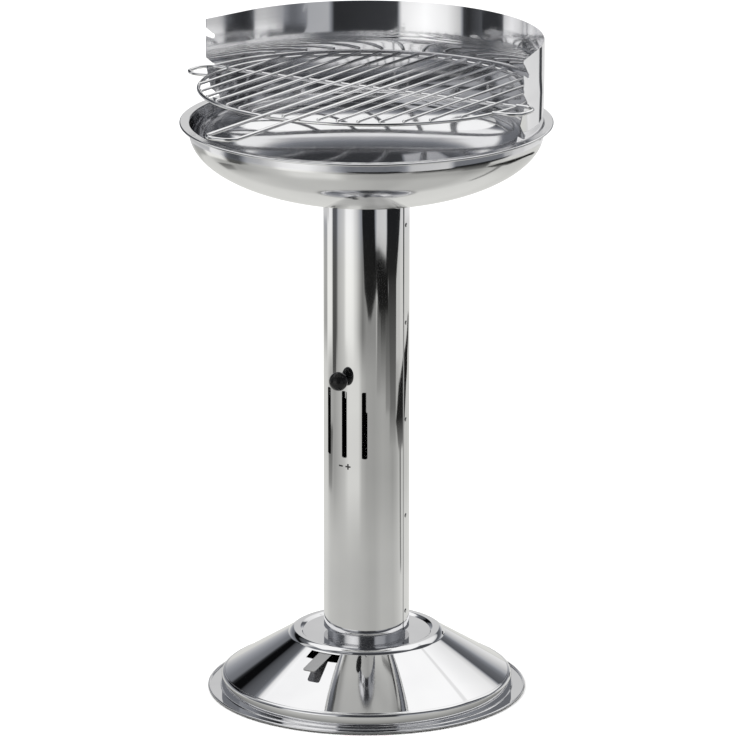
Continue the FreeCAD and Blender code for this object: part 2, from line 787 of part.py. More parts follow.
def hex_bolts(label, ring, shank, head, head_h, z_head, z_end, up):
    """Four hex-head bolts on a circle. z_head is the bearing face; the shank runs to z_end."""
    b = new_body(label)
    x, y = ring * qcos(45), ring * qsin(45)
    s1 = sketch(b, label + "_head_outline", "XY_Plane", z_head)
    hexagon(s1, x, y, head)
    p1 = pad(b, s1, label + "_head", head_h, reverse=up)
    s2 = sketch(b, label + "_shank_outline", "XY_Plane", z_head)
    circle(s2, x, y, shank)
    ln = (z_end - z_head) if up else (z_head - z_end)
    p2 = pad(b, s2, label + "_shank", ln, reverse=not up)
    polar(b, [p1, p2], label + "_pattern", 4)
    expect_solids(b, 4)
    return b


def rings4(label, ring, inner, outer, z0, height, hexed):
    b = new_body(label)
    x, y = ring * qcos(45), ring * qsin(45)
    s1 = sketch(b, label + "_outline", "XY_Plane", z0)
    if hexed:
        hexagon(s1, x, y, outer)
    else:
        circle(s1, x, y, outer)
    circle(s1, x, y, inner)
    p1 = pad(b, s1, label + "_pad", height)
    polar(b, [p1], label + "_pattern", 4)
    expect_solids(b, 4)
    return b


PZ = D["plate_z"]
hex_bolts(
    "base_bolts", D["base_bolt_ring"], D["base_bolt_r"], Q.of(4.0), Q.of(3.5),
    PZ - T, PZ + D["ring_t"] + 8, True,
)
rings4(
    "base_washers", D["base_bolt_ring"], D["base_bolt_r"] + 0.2, Q.of(4.9),
    PZ + D["ring_t"], Q.of(1.0), False,
)
rings4(
    "base_nuts", D["base_bolt_ring"], D["base_bolt_r"], Q.of(4.0),
    PZ + D["ring_t"] + 1.0, Q.of(4.0), True,
)
hex_bolts(
    "bowl_bolts", D["bowl_bolt_ring"], D["bowl_bolt_r"], Q.of(5.0), Q.of(4.0),
    FL + T + 1.2, FL - D["ring_t"] - 8, False,
)
rings4(
    "bowl_washers", D["bowl_bolt_ring"], D["bowl_bolt_r"] + 0.2, Q.of(6.0),
    FL + T, Q.of(1.2), False,
)
rings4(
    "bowl_nuts", D["bowl_bolt_ring"], D["bowl_bolt_r"], Q.of(5.0),
    FL - D["ring_t"] - 5.0, Q.of(5.0), True,
)

# ---------------------------------------------------------------- air damper
DO = CI - D["damper_gap"]
DI = DO - D["damper_t"]
body = new_body("damper_sleeve")
sk = sketch(body, "SleeveSection", "XY_Plane", D["damper_low"])
h0, h1 = Q.of(-90) - D["damper_half"], Q.of(-90) + D["damper_half"]
outline(
    sk,
    [
        (DI * qcos(h0), DI * qsin(h0)),
        (DO * qcos(h0), DO * qsin(h0), (DO, True, False)),
        (DO * qcos(h1), DO * qsin(h1)),
        (DI * qcos(h1), DI * qsin(h1), (DI, False, False)),
    ],
)
pad(body, sk, "SleevePad", D["damper_top"] - D["damper_low"])
sk = sketch(body, "SleeveSlot", "XZ_Plane", turn=Rot(V(0, -1, 0), D["slot_pitch"].v))
sk.setExpression("AttachmentOffset.Rotation.Angle", D["slot_pitch"].s)
outline(
    sk,
    [
        (w2, D["slot_mid"] - l2 - 0.5),
        (w2, D["slot_mid"] + l2 + 0.5),
        (-w2, D["slot_mid"] + l2 + 0.5),
        (-w2, D["slot_mid"] - l2 - 0.5),
    ],
)
f = pocket(body, sk, "SleeveSlotCut", Q.of(70.0), reverse=True)
polar(body, [f], "SleeveSlots", 3, D["slot_pitch"] * 2)
sk = sketch(body, "StemHole", "XZ_Plane")
circle(sk, 0.0, kz, D["stem_r"])
pocket(body, sk, "StemHoleCut", Q.of(70.0), reverse=True)
expect_solids(body, 1)


def turned(label, pts, place, count=1):
    """A turned piece whose own Z axis is laid along the direction given by its placement."""
    b = new_body(label)
    s1 = sketch(b, label + "_profile", "XZ_Plane")
    outline(s1, pts)
    revolve(b, s1, label + "_turned")
    b.Placement = place
    expect_solids(b, count)
    return b


# local Z of these pieces points to the front, -Y
FRONT = Pl(V(0, 0, D["knob_z"].v), Rot(V(1, 0, 0), 90))
turned(
    "damper_stem",
    [
        (Q.of(0), DI - 4.0),
        (D["stem_r"], DI - 4.0),
        (D["stem_r"], D["knob_out"] - 1.0),
        (Q.of(0), D["knob_out"]),
    ],
    FRONT,
)
body = new_body("damper_nut")
sk = sketch(body, "DamperNutOutline", "XY_Plane", DI - 3.2)
hexagon(sk, 0.0, 0.0, Q.of(3.5))
circle(sk, 0.0, 0.0, D["stem_r"])
pad(body, sk, "DamperNutPad", Q.of(3.0))
body.Placement = FRONT
expect_solids(body, 1)
turned(
    "damper_spacer",
    [
        (D["stem_r"] + 0.05, D["col_r"] + 0.5),
        (Q.of(4.2), D["col_r"] + 0.5),
        (Q.of(4.2), D["col_r"] + 1.6),
        (D["stem_r"] + 0.05, D["col_r"] + 1.6),
    ],
    FRONT,
)
KR = D["knob_r"]
neck = Q.of(5.4)
turned(
    "damper_knob",
    [
        (D["stem_r"], D["col_r"] + 1.6),
        (neck, D["col_r"] + 1.6),
        (neck, D["knob_out"] - qsqrt(KR * KR - neck * neck), (None, True, False)),
        (Q.of(0), D["knob_out"] + KR),
        (Q.of(0), D["knob_out"] + 0.4),
        (D["stem_r"], D["knob_out"] + 0.4),
    ],
    FRONT,
)

# ---------------------------------------------------------------- fire bowl
def solid(kind, name, place, **props):
    o = doc.addObject(kind, name)
    o.Placement = place
    for k, q in props.items():
        setattr(o, k, Q.of(q).v)
        bind(o, k, q)
    return o


BZ = D["bowl_z"]
at = Pl(V(0, 0, BZ.v), Rot())
dish_out = solid(
    "Part::Ellipsoid", "DishOutside", at,
    Radius1=D["bowl_b"], Radius2=D["bowl_a"], Radius3=D["bowl_a"], Angle1=-90.0, Angle2=0.0,
)
dish_in = solid(
    "Part::Ellipsoid", "DishInside", at,
    Radius1=D["bowl_b"] - T, Radius2=D["bowl_a"] - T, Radius3=D["bowl_a"] - T, Angle1=-90.0, Angle2=0.0,
)
for o in (dish_out, dish_in):
    o.setExpression("Placement.Base.z", BZ.s)
dish = doc.addObject("Part::Cut", "DishShell")
dish.Base, dish.Tool = dish_out, dish_in
below = solid(
    "Part::Cylinder", "DishBelowFloor", Pl(V(0, 0, 600), Rot()),
    Radius=90.0, Height=D["bowl_floor"] - 600,
)
dish2 = doc.addObject("Part::Cut", "DishTrimmed")
dish2.Base, dish2.Tool = dish, below
plate = solid(
    "Part::Cylinder", "DishFloor", Pl(V(0, 0, FL.v), Rot()), Radius=D["floor_r"], Height=T
)
plate.setExpression("Placement.Base.z", FL.s)
rim_sk = doc.addObject("Sketcher::SketchObject", "RimProfile")
rim_sk.Placement = Pl(V(0, 0, 0), Rot(V(1, 0, 0), 90))
LT = D["lip_z"] - T
outline(
    rim_sk,
    [
        (D["bowl_a"] - T, BZ),
        (D["bowl_a"], BZ),
        (D["bowl_a"], LT - 1.5, (1.5, False, False)),
        (D["bowl_a"] + 1.5, LT),
        (D["lip_r"] - 1.0, LT, (D["lip_roll"], True, True)),
        (D["lip_r"], D["lip_z"]),
        (D["bowl_a"] + 1.5, D["lip_z"], (2.5, True, False)),
        (D["bowl_a"] - T, D["lip_z"] - 2.5),
    ],
)
rim = doc.addObject("Part::Revolution", "RimSpun")
rim.Source = rim_sk
rim.Axis = V(0, 0, 1)
rim.Base = V(0, 0, 0)
rim.Angle = 360.0
rim.Solid = True
raw = doc.addObject("Part::MultiFuse", "BowlRaw")
raw.Shapes = [dish2, plate, rim]
cuts = [
    solid(
        "Part::Cylinder", "DraftOpening", Pl(V(0, 0, 600), Rot()), Radius=D["draft_r"], Height=60.0
    )
]
for k in range(4):
    a = 45 + 90 * k
    c = solid(
        "Part::Cylinder", "BowlBoltHole%d" % (k + 1),
        Pl(V(D["bowl_bolt_ring"].v * math.cos(math.radians(a)), D["bowl_bolt_ring"].v * math.sin(math.radians(a)), 600), Rot()),
        Radius=D["bowl_bolt_r"] + 0.25, Height=45.0,
    )
    c.setExpression("Placement.Base.x", (D["bowl_bolt_ring"] * qcos(a)).s)
    c.setExpression("Placement.Base.y", (D["bowl_bolt_ring"] * qsin(a)).s)
    cuts.append(c)
SCREW_ANGLES = [90.0, 90.0 + D["wind_screw_deg"].v, 90.0 - D["wind_screw_deg"].v]
for k, a in enumerate(SCREW_ANGLES):
    d = V(math.cos(math.radians(a)), math.sin(math.radians(a)), 0)
    c = solid(
        "Part::Cylinder", "BowlScrewHole%d" % (k + 1),
        Pl(d * 200 + V(0, 0, D["wind_screw_z"].v), Rot(V(0, 0, 1), d)),
        Radius=D["wind_screw_r"] + 0.2, Height=30.0,
    )
    c.setExpression("Placement.Base.z", "Dims.wind_screw_z")
    cuts.append(c)
tool = doc.addObject("Part::MultiFuse", "BowlHoles")
tool.Shapes = cuts
bowl = doc.addObject("Part::Cut", "fire_bowl")
bowl.Base, bowl.Tool = raw, tool
bowl.Label = "fire_bowl"
NODES.append(bowl)
expect_solids(bowl, 1)

# ---------------------------------------------------------------- windshield
WO, WI = D["wind_r"], D["wind_r"] - D["wind_t"]
body = new_body("windshield")
WE, WF = D["wind_end_y"], D["wind_flat"]


def shield_plan(name, z, ro, ri, flat):
    """The sheet seen from above; every arc stays under a half turn."""
    pts = []
    for r, side in ((ro, 1), (ro, -1), (ri, -1), (ri, 1)):
        end = (r / qcos(WF) + WE * qtan(WF)) if flat else qsqrt(r * r - WE * WE)
        tip, bend = (end * side, -WE), (r * qcos(WF) * side, r * qsin(WF))
        outer = r is ro
        turn = (r, outer, False)
        if (side > 0) == outer:
            # from the tip to the back
            pts.append(tip if flat else tip + (turn,))
            pts.append(bend + (turn,))
            pts.append((Q.of(0), r, turn))
        else:
            pts.append(bend if flat else bend + (turn,))
            pts.append(tip)
    sk = sketch(body, name, "XY_Plane", z)
    outline(sk, pts)
    return sk


WBZ, WFZ = D["wind_bend_z"], D["wind_full_z"]
VO, VI = D["wind_wide"], D["wind_wide"] - D["wind_t"]
sk = shield_plan("ShieldSection", D["wind_low"], WO, WI, False)
pad(body, sk, "ShieldPad", WBZ - D["wind_low"])
sk = shield_plan("ShieldBend", WBZ, WO, WI, False)
sk2 = shield_plan("ShieldSpread", WFZ, VO, VI, True)
doc.recompute()
f = body.newObject("PartDesign::AdditiveLoft", "ShieldLean")
f.Profile = sk
f.Sections = [sk2]
f.Ruled = True
body.Tip = f
sk = shield_plan("ShieldUpper", WFZ, VO, VI, True)
pad(body, sk, "ShieldUpperPad", D["wind_top"] - WFZ)
expect_solids(body, 1)
for k in (-1, 0, 1):
    zb = D["seat_z"] + D["notch_pitch"] * k
    sy, sr = D["seat_y"], D["seat_r"]
    my = Q.of(-20.0)
    run = D["seat_y"] + WE
    slope_low = D["lip_rise"] / run
    slope_top = (D["mouth_rise"] - sr * 2) / run
    sk = sketch(
        body, "Notch%d" % (k + 2), "YZ_Plane", turn=Rot(V(0, 1, 0), D["grid_turn"].v)
    )
    sk.setExpression("AttachmentOffset.Rotation.Angle", "Dims.grid_turn * 1 deg")
    outline(
        sk,
        [
            (sy, zb, (sr, True, False)),
            (sy, zb + sr * 2),
            (my, zb + sr * 2 + slope_top * (sy - my)),
            (my, zb + slope_low * (sy - my)),
        ],
    )
    pocket(body, sk, "NotchCut%d" % (k + 2), Q.of(600.0), midplane=True)
for k, a in enumerate(SCREW_ANGLES):
    sk = sketch(
        body, "ShieldScrewHole%d" % (k + 1), "XZ_Plane", turn=Rot(V(0, 1, 0), a + 90.0)
    )
    circle(sk, 0.0, D["wind_screw_z"], D["wind_screw_r"] + 0.2)
    pocket(body, sk, "ShieldScrewHoleCut%d" % (k + 1), Q.of(300.0), reverse=True)
expect_solids(body, 1)

# screws from outside with dome heads, nuts and washers inside
def around(label, pts=None, hexed=None):
    """Three like pieces around the windshield, made from one turned or hexagonal shape."""
    parts = []
    for k, a in enumerate(SCREW_ANGLES):
        d = V(math.cos(math.radians(a)), math.sin(math.radians(a)), 0)
        place = Pl(V(0, 0, D["wind_screw_z"].v), Rot(V(0, 0, 1), d))
        if pts is not None:
            s1 = doc.addObject("Sketcher::SketchObject", "%s_profile%d" % (label, k + 1))
            s1.Placement = Pl(V(0, 0, 0), Rot(V(1, 0, 0), 90))
            outline(s1, pts)
            r = doc.addObject("Part::Revolution", "%s_turned%d" % (label, k + 1))
            r.Source = s1
            r.Axis = V(0, 0, 1)
            r.Base = V(0, 0, 0)
            r.Angle = 360.0
            r.Solid = True
            r.Placement = place
            parts.append(r)
        else:
            inner, outer, z0, height = hexed
            pr = doc.addObject("Part::Prism", "%s_hex%d" % (label, k + 1))
            pr.Polygon = 6
            pr.Circumradius = (outer / qcos(30)).v
            bind(pr, "Circumradius", outer / qcos(30))
            pr.Height = height.v
            bind(pr, "Height", height)
            hole = doc.addObject("Part::Cylinder", "%s_hole%d" % (label, k + 1))
            hole.Radius = inner.v
            bind(hole, "Radius", inner)
            hole.Height = height.v + 4
            bind(hole, "Height", height + 4)
            shift = place.multiply(Pl(V(0, 0, z0.v), Rot()))
            pr.Placement = shift
            hole.Placement = place.multiply(Pl(V(0, 0, z0.v - 2), Rot()))
            c = doc.addObject("Part::Cut", "%s_nut%d" % (label, k + 1))
            c.Base, c.Tool = pr, hole
            parts.append(c)
    comp = doc.addObject("Part::Compound", label)
    comp.Links = parts
    comp.Label = label
    NODES.append(comp)
    expect_solids(comp, 3)
    return comp


BO = D["bowl_a"]
around(
    "windshield_screws",
    pts=[
        (Q.of(0), WI - 6.0),
        (D["wind_screw_r"], WI - 6.0),
        (D["wind_screw_r"], BO + 0.15),
        (Q.of(4.6), BO + 0.15, (None, True, False)),
        (Q.of(0), BO + 2.8),
    ],
)
around(
    "windshield_washers",
    pts=[
        (D["wind_screw_r"] + 0.1, WI - 1.25),
        (Q.of(4.9), WI - 1.25),
        (Q.of(4.9), WI - 0.25),
        (D["wind_screw_r"] + 0.1, WI - 0.25),
    ],
)
around(
    "windshield_nuts",
    hexed=(D["wind_screw_r"], Q.of(4.0), WI - 5.3, Q.of(4.0)),
)

# ---------------------------------------------------------------- wire rings and bars
def wire_ring(label, radius, z, wire):
    b = new_body(label)
    s1 = sketch(b, label + "_section", "XZ_Plane")
    circle(s1, radius, z, wire)
    revolve(b, s1, label + "_ring")
    expect_solids(b, 1)
    return b


def bar_set(label, positions, radius, z, wire):
    """Straight bars along Y, each ending on the ring's centre line."""
    parts = []
    for i, x in enumerate(positions):
        x = Q.of(x)
        c = doc.addObject("Part::Cylinder", "%s_bar%d" % (label, i + 1))
        halfl = qsqrt(radius * radius - x * x)
        c.Radius = wire.v
        bind(c, "Radius", wire)
        c.Height = halfl.v * 2
        bind(c, "Height", halfl * 2)
        c.Placement = Pl(V(x.v, -halfl.v, z.v), Rot(V(0, 0, 1), V(0, 1, 0)))
        c.setExpression("Placement.Base.x", x.s)
        c.setExpression("Placement.Base.y", (-halfl).s)
        c.setExpression("Placement.Base.z", z.s)
        parts.append(c)
    comp = doc.addObject("Part::Compound", label)
    comp.Links = parts
    comp.Label = label
    NODES.append(comp)
    expect_solids(comp, len(positions))
    return comp


def bent_wire(label, pts, z, wire, start_role, start_at, start_xy):
    """A round wire along lines and arcs in the plane at height z."""
    b = new_body(label)
    path = sketch(b, label + "_path", "XY_Plane", z)
    outline(path, pts, close=False)
    sec = sketch(b, label + "_section", start_role, start_at)
    circle(sec, start_xy[0], start_xy[1], wire)
    doc.recompute()
    p = b.newObject("PartDesign::AdditivePipe", label + "_pipe")
    p.Profile = sec
    p.Spine = (path, ["Edge%d" % (i + 1) for i in range(len(pts) - 1)])
    b.Tip = p
    expect_solids(b, 1)
    length = path.Shape.Length
    want = math.pi * wire.v**2 * length
    if abs(p.Shape.Volume / want - 1) > 0.01:
        raise RuntimeError("%s is not a clean wire" % label)
    print("%s length %.1f mm" % (label, length))
    return b


P = D["bar_pitch"]
GRID_FROM = len(NODES)
wire_ring("grid_ring", D["grid_r"], D["grid_z"], D["grid_wire"])
bar_set(
    "grid_bars",
    [P * k + D["bar_shift"] for k in (-8, -7, -6, -5, -4, -3, -2, 0, 2, 3, 4, 5, 6, 7, 8)],
    D["grid_r"], D["bar_z"], D["bar_wire"],
)
# a straight cross rod inside the ring and a bent loop welded on at each side
LX, LY, LB = D["loop_x"], D["loop_y"], D["loop_bend"]
SY = D["rod_y"]
rod_x = qsqrt(D["grid_r"] * D["grid_r"] - SY * SY)
loop_in = qsqrt(D["grid_r"] * D["grid_r"] - LY * LY)
LZ = D["loop_z"]
body = new_body("grid_cross_rod")
sk = sketch(body, "CrossRodSection", "YZ_Plane", -rod_x)
circle(sk, SY, D["grid_z"], D["rod_wire"])
pad(body, sk, "CrossRodPad", rod_x * 2)
expect_solids(body, 1)
for label, side in (("grid_loop_left", -1), ("grid_loop_right", 1)):
    left = side > 0
    bent_wire(
        label,
        [
            (rod_x * side, SY),
            ((LX - LB) * side, SY, (LB, not left, False)),
            (LX * side, SY - LB),
            (LX * side, -LY + LB, (LB, not left, False)),
            ((LX - LB) * side, -LY),
            (loop_in * side, -LY),
        ],
        LZ, D["rod_wire"], "YZ_Plane", rod_x * side, (SY, LZ),
    )
HB, HY = D["handle_bend"], D["handle_y"]
HL, HR = D["bar_shift"] - D["handle_half"], D["bar_shift"] + D["handle_half"]
back_l = qsqrt(D["grid_r"] * D["grid_r"] - HL * HL)
back_r = qsqrt(D["grid_r"] * D["grid_r"] - HR * HR)
bent_wire(
    "grid_front_handle",
    [
        (HL, back_l),
        (HL, -HY + HB, (HB, True, False)),
        (HL + HB, -HY),
        (HR - HB, -HY, (HB, True, False)),
        (HR, -HY + HB),
        (HR, back_r),
    ],
    D["handle_z"], D["rod_wire"], "XZ_Plane", -back_l, (HL, D["handle_z"]),
)
# the grid lies a little turned about the axis and falls towards the back
for o in NODES[GRID_FROM:]:
    pivot = V(0, 0, D["grid_z"].v)
    lie = Rot(V(1, 0, 0), -D["grid_tilt"].v).multiply(Rot(V(0, 0, 1), D["grid_turn"].v))
    o.Placement = Pl(pivot, lie).multiply(Pl(-pivot, Rot()))
wire_ring("charcoal_grate_ring", D["coal_r"], D["coal_z"], D["coal_wire"])
bar_set(
    "charcoal_grate_bars",
    [D["coal_pitch"] * k for k in range(-5, 6)],
    D["coal_r"], D["coal_bar_z"], D["coal_bar"],
)

# ---------------------------------------------------------------- check and write
doc.recompute()
bad = [o.Name for o in doc.Objects if "Invalid" in o.State or "Error" in o.State]
if bad:
    raise RuntimeError("failed objects: %s" % bad)
labels = [o.Label for o in NODES]
if len(set(labels)) != len(labels):
    raise RuntimeError("labels are not unique")
for o in NODES:
    if o.Shape.isNull() or not o.Shape.isValid() or not o.Shape.Solids:
        raise RuntimeError("bad shape: %s" % o.Label)
os.makedirs("parts", exist_ok=True)
for o in NODES:
    o.Shape.exportStep(os.path.join("parts", o.Label + ".step"))
    bb = o.Shape.BoundBox
    print(
        "%-24s %d solids  x %.1f..%.1f  y %.1f..%.1f  z %.1f..%.1f  vol %.0f"
        % (o.Label, len(o.Shape.Solids), bb.XMin, bb.XMax, bb.YMin, bb.YMax, bb.ZMin, bb.ZMax, o.Shape.Volume)
    )
print("%d nodes" % len(NODES))
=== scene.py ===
"""Pillar charcoal grill in polished steel: finishes, finer meshes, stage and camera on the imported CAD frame.

Lengths in the tables are millimetres, as in the CAD source; everything reaches Blender in metres.
"""
import math

import bpy
import numpy as np
from mathutils import Matrix, Vector


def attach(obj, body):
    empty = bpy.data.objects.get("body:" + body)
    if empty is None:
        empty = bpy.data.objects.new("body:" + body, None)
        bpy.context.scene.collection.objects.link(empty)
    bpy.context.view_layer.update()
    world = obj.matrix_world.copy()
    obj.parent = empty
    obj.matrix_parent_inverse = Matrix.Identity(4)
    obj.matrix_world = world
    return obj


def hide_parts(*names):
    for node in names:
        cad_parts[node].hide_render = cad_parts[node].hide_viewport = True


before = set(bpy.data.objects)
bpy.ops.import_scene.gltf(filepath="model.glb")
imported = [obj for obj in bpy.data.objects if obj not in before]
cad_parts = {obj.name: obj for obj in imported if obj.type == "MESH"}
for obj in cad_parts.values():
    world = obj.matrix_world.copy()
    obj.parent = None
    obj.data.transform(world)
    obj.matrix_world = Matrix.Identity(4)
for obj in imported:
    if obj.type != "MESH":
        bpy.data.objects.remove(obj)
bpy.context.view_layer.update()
MM = 0.001
scene = bpy.context.scene
rng = np.random.default_rng(41)


def rad(a):
    return a * math.pi / 180.0


# ---------------------------------------------------------------- outlines that are turned about an axis
def arc_centre(p, q, r, left, major):
    mx, my = (p[0] + q[0]) / 2, (p[1] + q[1]) / 2
    dx, dy = q[0] - p[0], q[1] - p[1]
    c = math.hypot(dx, dy)
    off = math.sqrt(max(r * r - c * c / 4, 0.0))
    if major:
        off = -off
    nx, ny = -dy / c, dx / c
    if not left:
        nx, ny = -nx, -ny
    return mx + nx * off, my + ny * off


class Line:
    def __init__(self, p, q):
        self.p, self.q = np.array(p, float), np.array(q, float)
        d = self.q - self.p
        self.len = float(np.hypot(*d))
        self.t = d / self.len
        self.n = np.array([self.t[1], -self.t[0]])

    def at(self, s):
        return self.p + self.t * s, self.n

    def steps(self):
        return max(1, int(math.ceil(self.len / 14.0)))

    def near(self, P):
        s = np.clip((P - self.p) @ self.t, 0, self.len)
        d = np.linalg.norm(P - (self.p + s[:, None] * self.t), axis=1)
        return d, np.repeat(self.n[None], len(P), 0)


class Arc:
    def __init__(self, p, q, r, left, major):
        self.c = np.array(arc_centre(p, q, r, left, major))
        self.r = r
        self.left = left
        self.a0 = math.atan2(p[1] - self.c[1], p[0] - self.c[0])
        a1 = math.atan2(q[1] - self.c[1], q[0] - self.c[0])
        if left:
            while a1 <= self.a0 + 1e-9:
                a1 += 2 * math.pi
        else:
            while a1 >= self.a0 - 1e-9:
                a1 -= 2 * math.pi
        self.a1 = a1
        self.len = abs(a1 - self.a0) * r

    def at(self, s):
        a = self.a0 + (self.a1 - self.a0) * s / self.len
        u = np.array([math.cos(a), math.sin(a)])
        return self.c + self.r * u, (u if self.left else -u)

    def steps(self):
        step = 11.0 if self.r < 5 else 4.0
        return max(2, int(math.ceil(math.degrees(abs(self.a1 - self.a0)) / step)))

    def near(self, P):
        v = P - self.c
        d = np.linalg.norm(v, axis=1)
        u = v / np.maximum(d, 1e-9)[:, None]
        a = np.arctan2(v[:, 1], v[:, 0])
        lo, hi = min(self.a0, self.a1), max(self.a0, self.a1)
        a = lo + np.mod(a - lo + 0.02, 2 * math.pi) - 0.02
        off = np.where((a >= lo - 0.02) & (a <= hi + 0.02), np.abs(d - self.r), 1e3)
        return off, (u if self.left else -u)


class Oval:
    """Part of an ellipse about (0, z0): walked upwards on the outside of the sheet, downwards on the inside."""

    def __init__(self, p, q, a, b, z0):
        self.a, self.b, self.z0 = a, b, z0
        self.t0 = math.atan2((p[1] - z0) / b, p[0] / a)
        self.t1 = math.atan2((q[1] - z0) / b, q[0] / a)
        self.out = self.t1 > self.t0
        self.len = abs(self.t1 - self.t0) * (a + b) / 2

    def at(self, s):
        t = self.t0 + (self.t1 - self.t0) * s / self.len
        n = np.array([math.cos(t) / self.a, math.sin(t) / self.b])
        n /= np.hypot(*n)
        return np.array([self.a * math.cos(t), self.z0 + self.b * math.sin(t)]), (n if self.out else -n)

    def steps(self):
        return 48

    def near(self, P):
        u, v = P[:, 0] / self.a, (P[:, 1] - self.z0) / self.b
        off = np.abs(np.hypot(u, v) - 1) * self.b
        t = np.arctan2(v, u)
        n = np.stack([np.cos(t) / self.a, np.sin(t) / self.b], 1)
        n /= np.linalg.norm(n, axis=1)[:, None]
        lo, hi = min(self.t0, self.t1) - 0.01, max(self.t0, self.t1) + 0.01
        off = np.where((t >= lo) & (t <= hi), off, 1e3)
        return off, (n if self.out else -n)


class Outline:
    """A closed outline in (radius, height) with the metal on the left hand of the walk.

    Shallow corners, as a spinning tool leaves them, are shaded round over a short width.
    """

    def __init__(self, items, width=0.7, soft=64.0):
        self.segs = []
        n = len(items)
        for i in range(n):
            a, b = items[i], items[(i + 1) % n]
            p, q = a[:2], b[:2]
            if abs(p[0]) < 1e-6 and abs(q[0]) < 1e-6:
                self.segs.append(None)
            elif len(a) == 2:
                self.segs.append(Line(p, q))
            elif a[2][0] == "oval":
                self.segs.append(Oval(p, q, *a[2][1:]))
            else:
                self.segs.append(Arc(p, q, *a[2]))
        self.width = width
        self.corner = []  # (point, mean normal) for the soft ones, by the segment that ends there
        m = len(self.segs)
        for i in range(m):
            s, t = self.segs[i], self.segs[(i + 1) % m]
            self.corner.append(None)
            if s is None or t is None:
                continue
            (p, n0), (_, n1) = s.at(s.len), t.at(0.0)
            ang = math.degrees(math.acos(max(-1.0, min(1.0, float(n0 @ n1)))))
            if 0.5 < ang < soft:
                mean = n0 + n1
                self.corner[i] = (p, mean / np.hypot(*mean))

    def rows(self):
        out = []
        m = len(self.segs)
        for i, s in enumerate(self.segs):
            if s is None:
                continue
            cuts = set(np.linspace(0, s.len, s.steps() + 1).tolist())
            w = min(self.width, s.len * 0.3)
            if self.corner[i - 1] is not None:
                cuts.add(w)
            if self.corner[i] is not None:
                cuts.add(s.len - w)
            cuts = sorted(cuts)
            keep = [cuts[0]]
            for c in cuts[1:]:
                if c - keep[-1] > 0.02:
                    keep.append(c)
            if s.len - keep[-1] < 0.02:
                keep[-1] = s.len
            else:
                keep.append(s.len)
            pts = [s.at(c)[0] for c in keep]
            if out and np.hypot(*(out[-1] - pts[0])) < 1e-3:
                pts = pts[1:]
            out += pts
        closed = all(s is not None for s in self.segs)
        if closed and np.hypot(*(out[-1] - out[0])) < 1e-3:
            out = out[:-1]
        return np.array(out), closed

    def normals(self, P, F):
        """Sheet normals for points P whose faces have the directions F, both in the outline's plane."""
        best = np.full(len(P), 1e9)
        N = F.copy()
        for s in self.segs:
            if s is None:
                continue
            d, n = s.near(P)
            dot = np.sum(n * F, axis=1)
            cost = d / 0.05 + np.where(dot > 0.55, (1 - dot) * 4, 1e3)
            take = (cost < best) & (d < 0.08)
            best = np.where(take, cost, best)
            N[take] = n[take]
        for c in self.corner:
            if c is not None:
                hit = (np.linalg.norm(P - c[0], axis=1) < 0.03) & (np.sum(N * c[1], axis=1) > 0.6)
                N[hit] = c[1]
        return N


def new_mesh(name, verts, faces):
    me = bpy.data.meshes.new(name)
    me.from_pydata((np.asarray(verts, float) * MM).tolist(), [], faces)
    me.update()
    return me


def obj_of(name, me):
    o = bpy.data.objects.new(name, me)
    scene.collection.objects.link(o)
    return o


def spun_mesh(name, line, n):
    """The outline turned about Z in n steps."""
    rows, closed = line.rows()
    th = np.arange(n) * 2 * math.pi / n
    c, s = np.cos(th), np.sin(th)
    verts, start = [], []
    for r, z in rows:
        start.append(len(verts))
        if r < 1e-6:
            verts.append((0.0, 0.0, z))
        else:
            verts.extend(np.stack([r * c, r * s, np.full(n, z)], 1).tolist())
    faces = []
    m = len(rows)
    for i in range(m if closed else m - 1):
        k = (i + 1) % m
        a0, b0 = start[i], start[k]
        pa, pb = rows[i][0] < 1e-6, rows[k][0] < 1e-6
        for j in range(n):
            j2 = (j + 1) % n
            if pa and pb:
                continue
            if pa:
                faces.append((a0, b0 + j2, b0 + j))
            elif pb:
                faces.append((a0 + j, a0 + j2, b0))
            else:
                faces.append((a0 + j, a0 + j2, b0 + j2, b0 + j))
    return new_mesh(name, verts, faces)


def loop_data(me):
    nl, nv, npoly = len(me.loops), len(me.vertices), len(me.polygons)
    vi = np.empty(nl, np.int32)
    me.loops.foreach_get("vertex_index", vi)
    co = np.empty(nv * 3)
    me.vertices.foreach_get("co", co)
    co = co.reshape(-1, 3) / MM
    fn = np.empty(npoly * 3)
    me.polygons.foreach_get("normal", fn)
    fn = fn.reshape(-1, 3)
    tot = np.empty(npoly, np.int32)
    me.polygons.foreach_get("loop_total", tot)
    pol = np.repeat(np.arange(npoly), tot)
    return co[vi], fn[pol]


def set_normals(me, N):
    me.polygons.foreach_set("use_smooth", [True] * len(me.polygons))
    N = N / np.maximum(np.linalg.norm(N, axis=1), 1e-9)[:, None]
    me.normals_split_custom_set(N.tolist())
    me.update()


def shade_spun(me, line):
    P, F = loop_data(me)
    r = np.hypot(P[:, 0], P[:, 1])
    ux = np.where(r > 1e-6, P[:, 0] / np.maximum(r, 1e-9), 0)
    uy = np.where(r > 1e-6, P[:, 1] / np.maximum(r, 1e-9), 0)
    fr = F[:, 0] * ux + F[:, 1] * uy
    ft = -F[:, 0] * uy + F[:, 1] * ux
    flat = np.stack([fr, F[:, 2]], 1)
    ln = np.maximum(np.linalg.norm(flat, axis=1), 1e-9)
    N2 = line.normals(np.stack([r, P[:, 2]], 1), flat / ln[:, None])
    N = np.stack([N2[:, 0] * ux, N2[:, 0] * uy, N2[:, 1]], 1)
    # cut walls that face sideways keep their own direction, and so does the middle of a cap
    side = np.abs(ft) > 0.6
    N[side] = F[side]
    mid = r <= 1e-6
    N[mid] = np.stack([np.zeros(mid.sum()), np.zeros(mid.sum()), np.sign(F[mid, 2])], 1)
    set_normals(me, N)


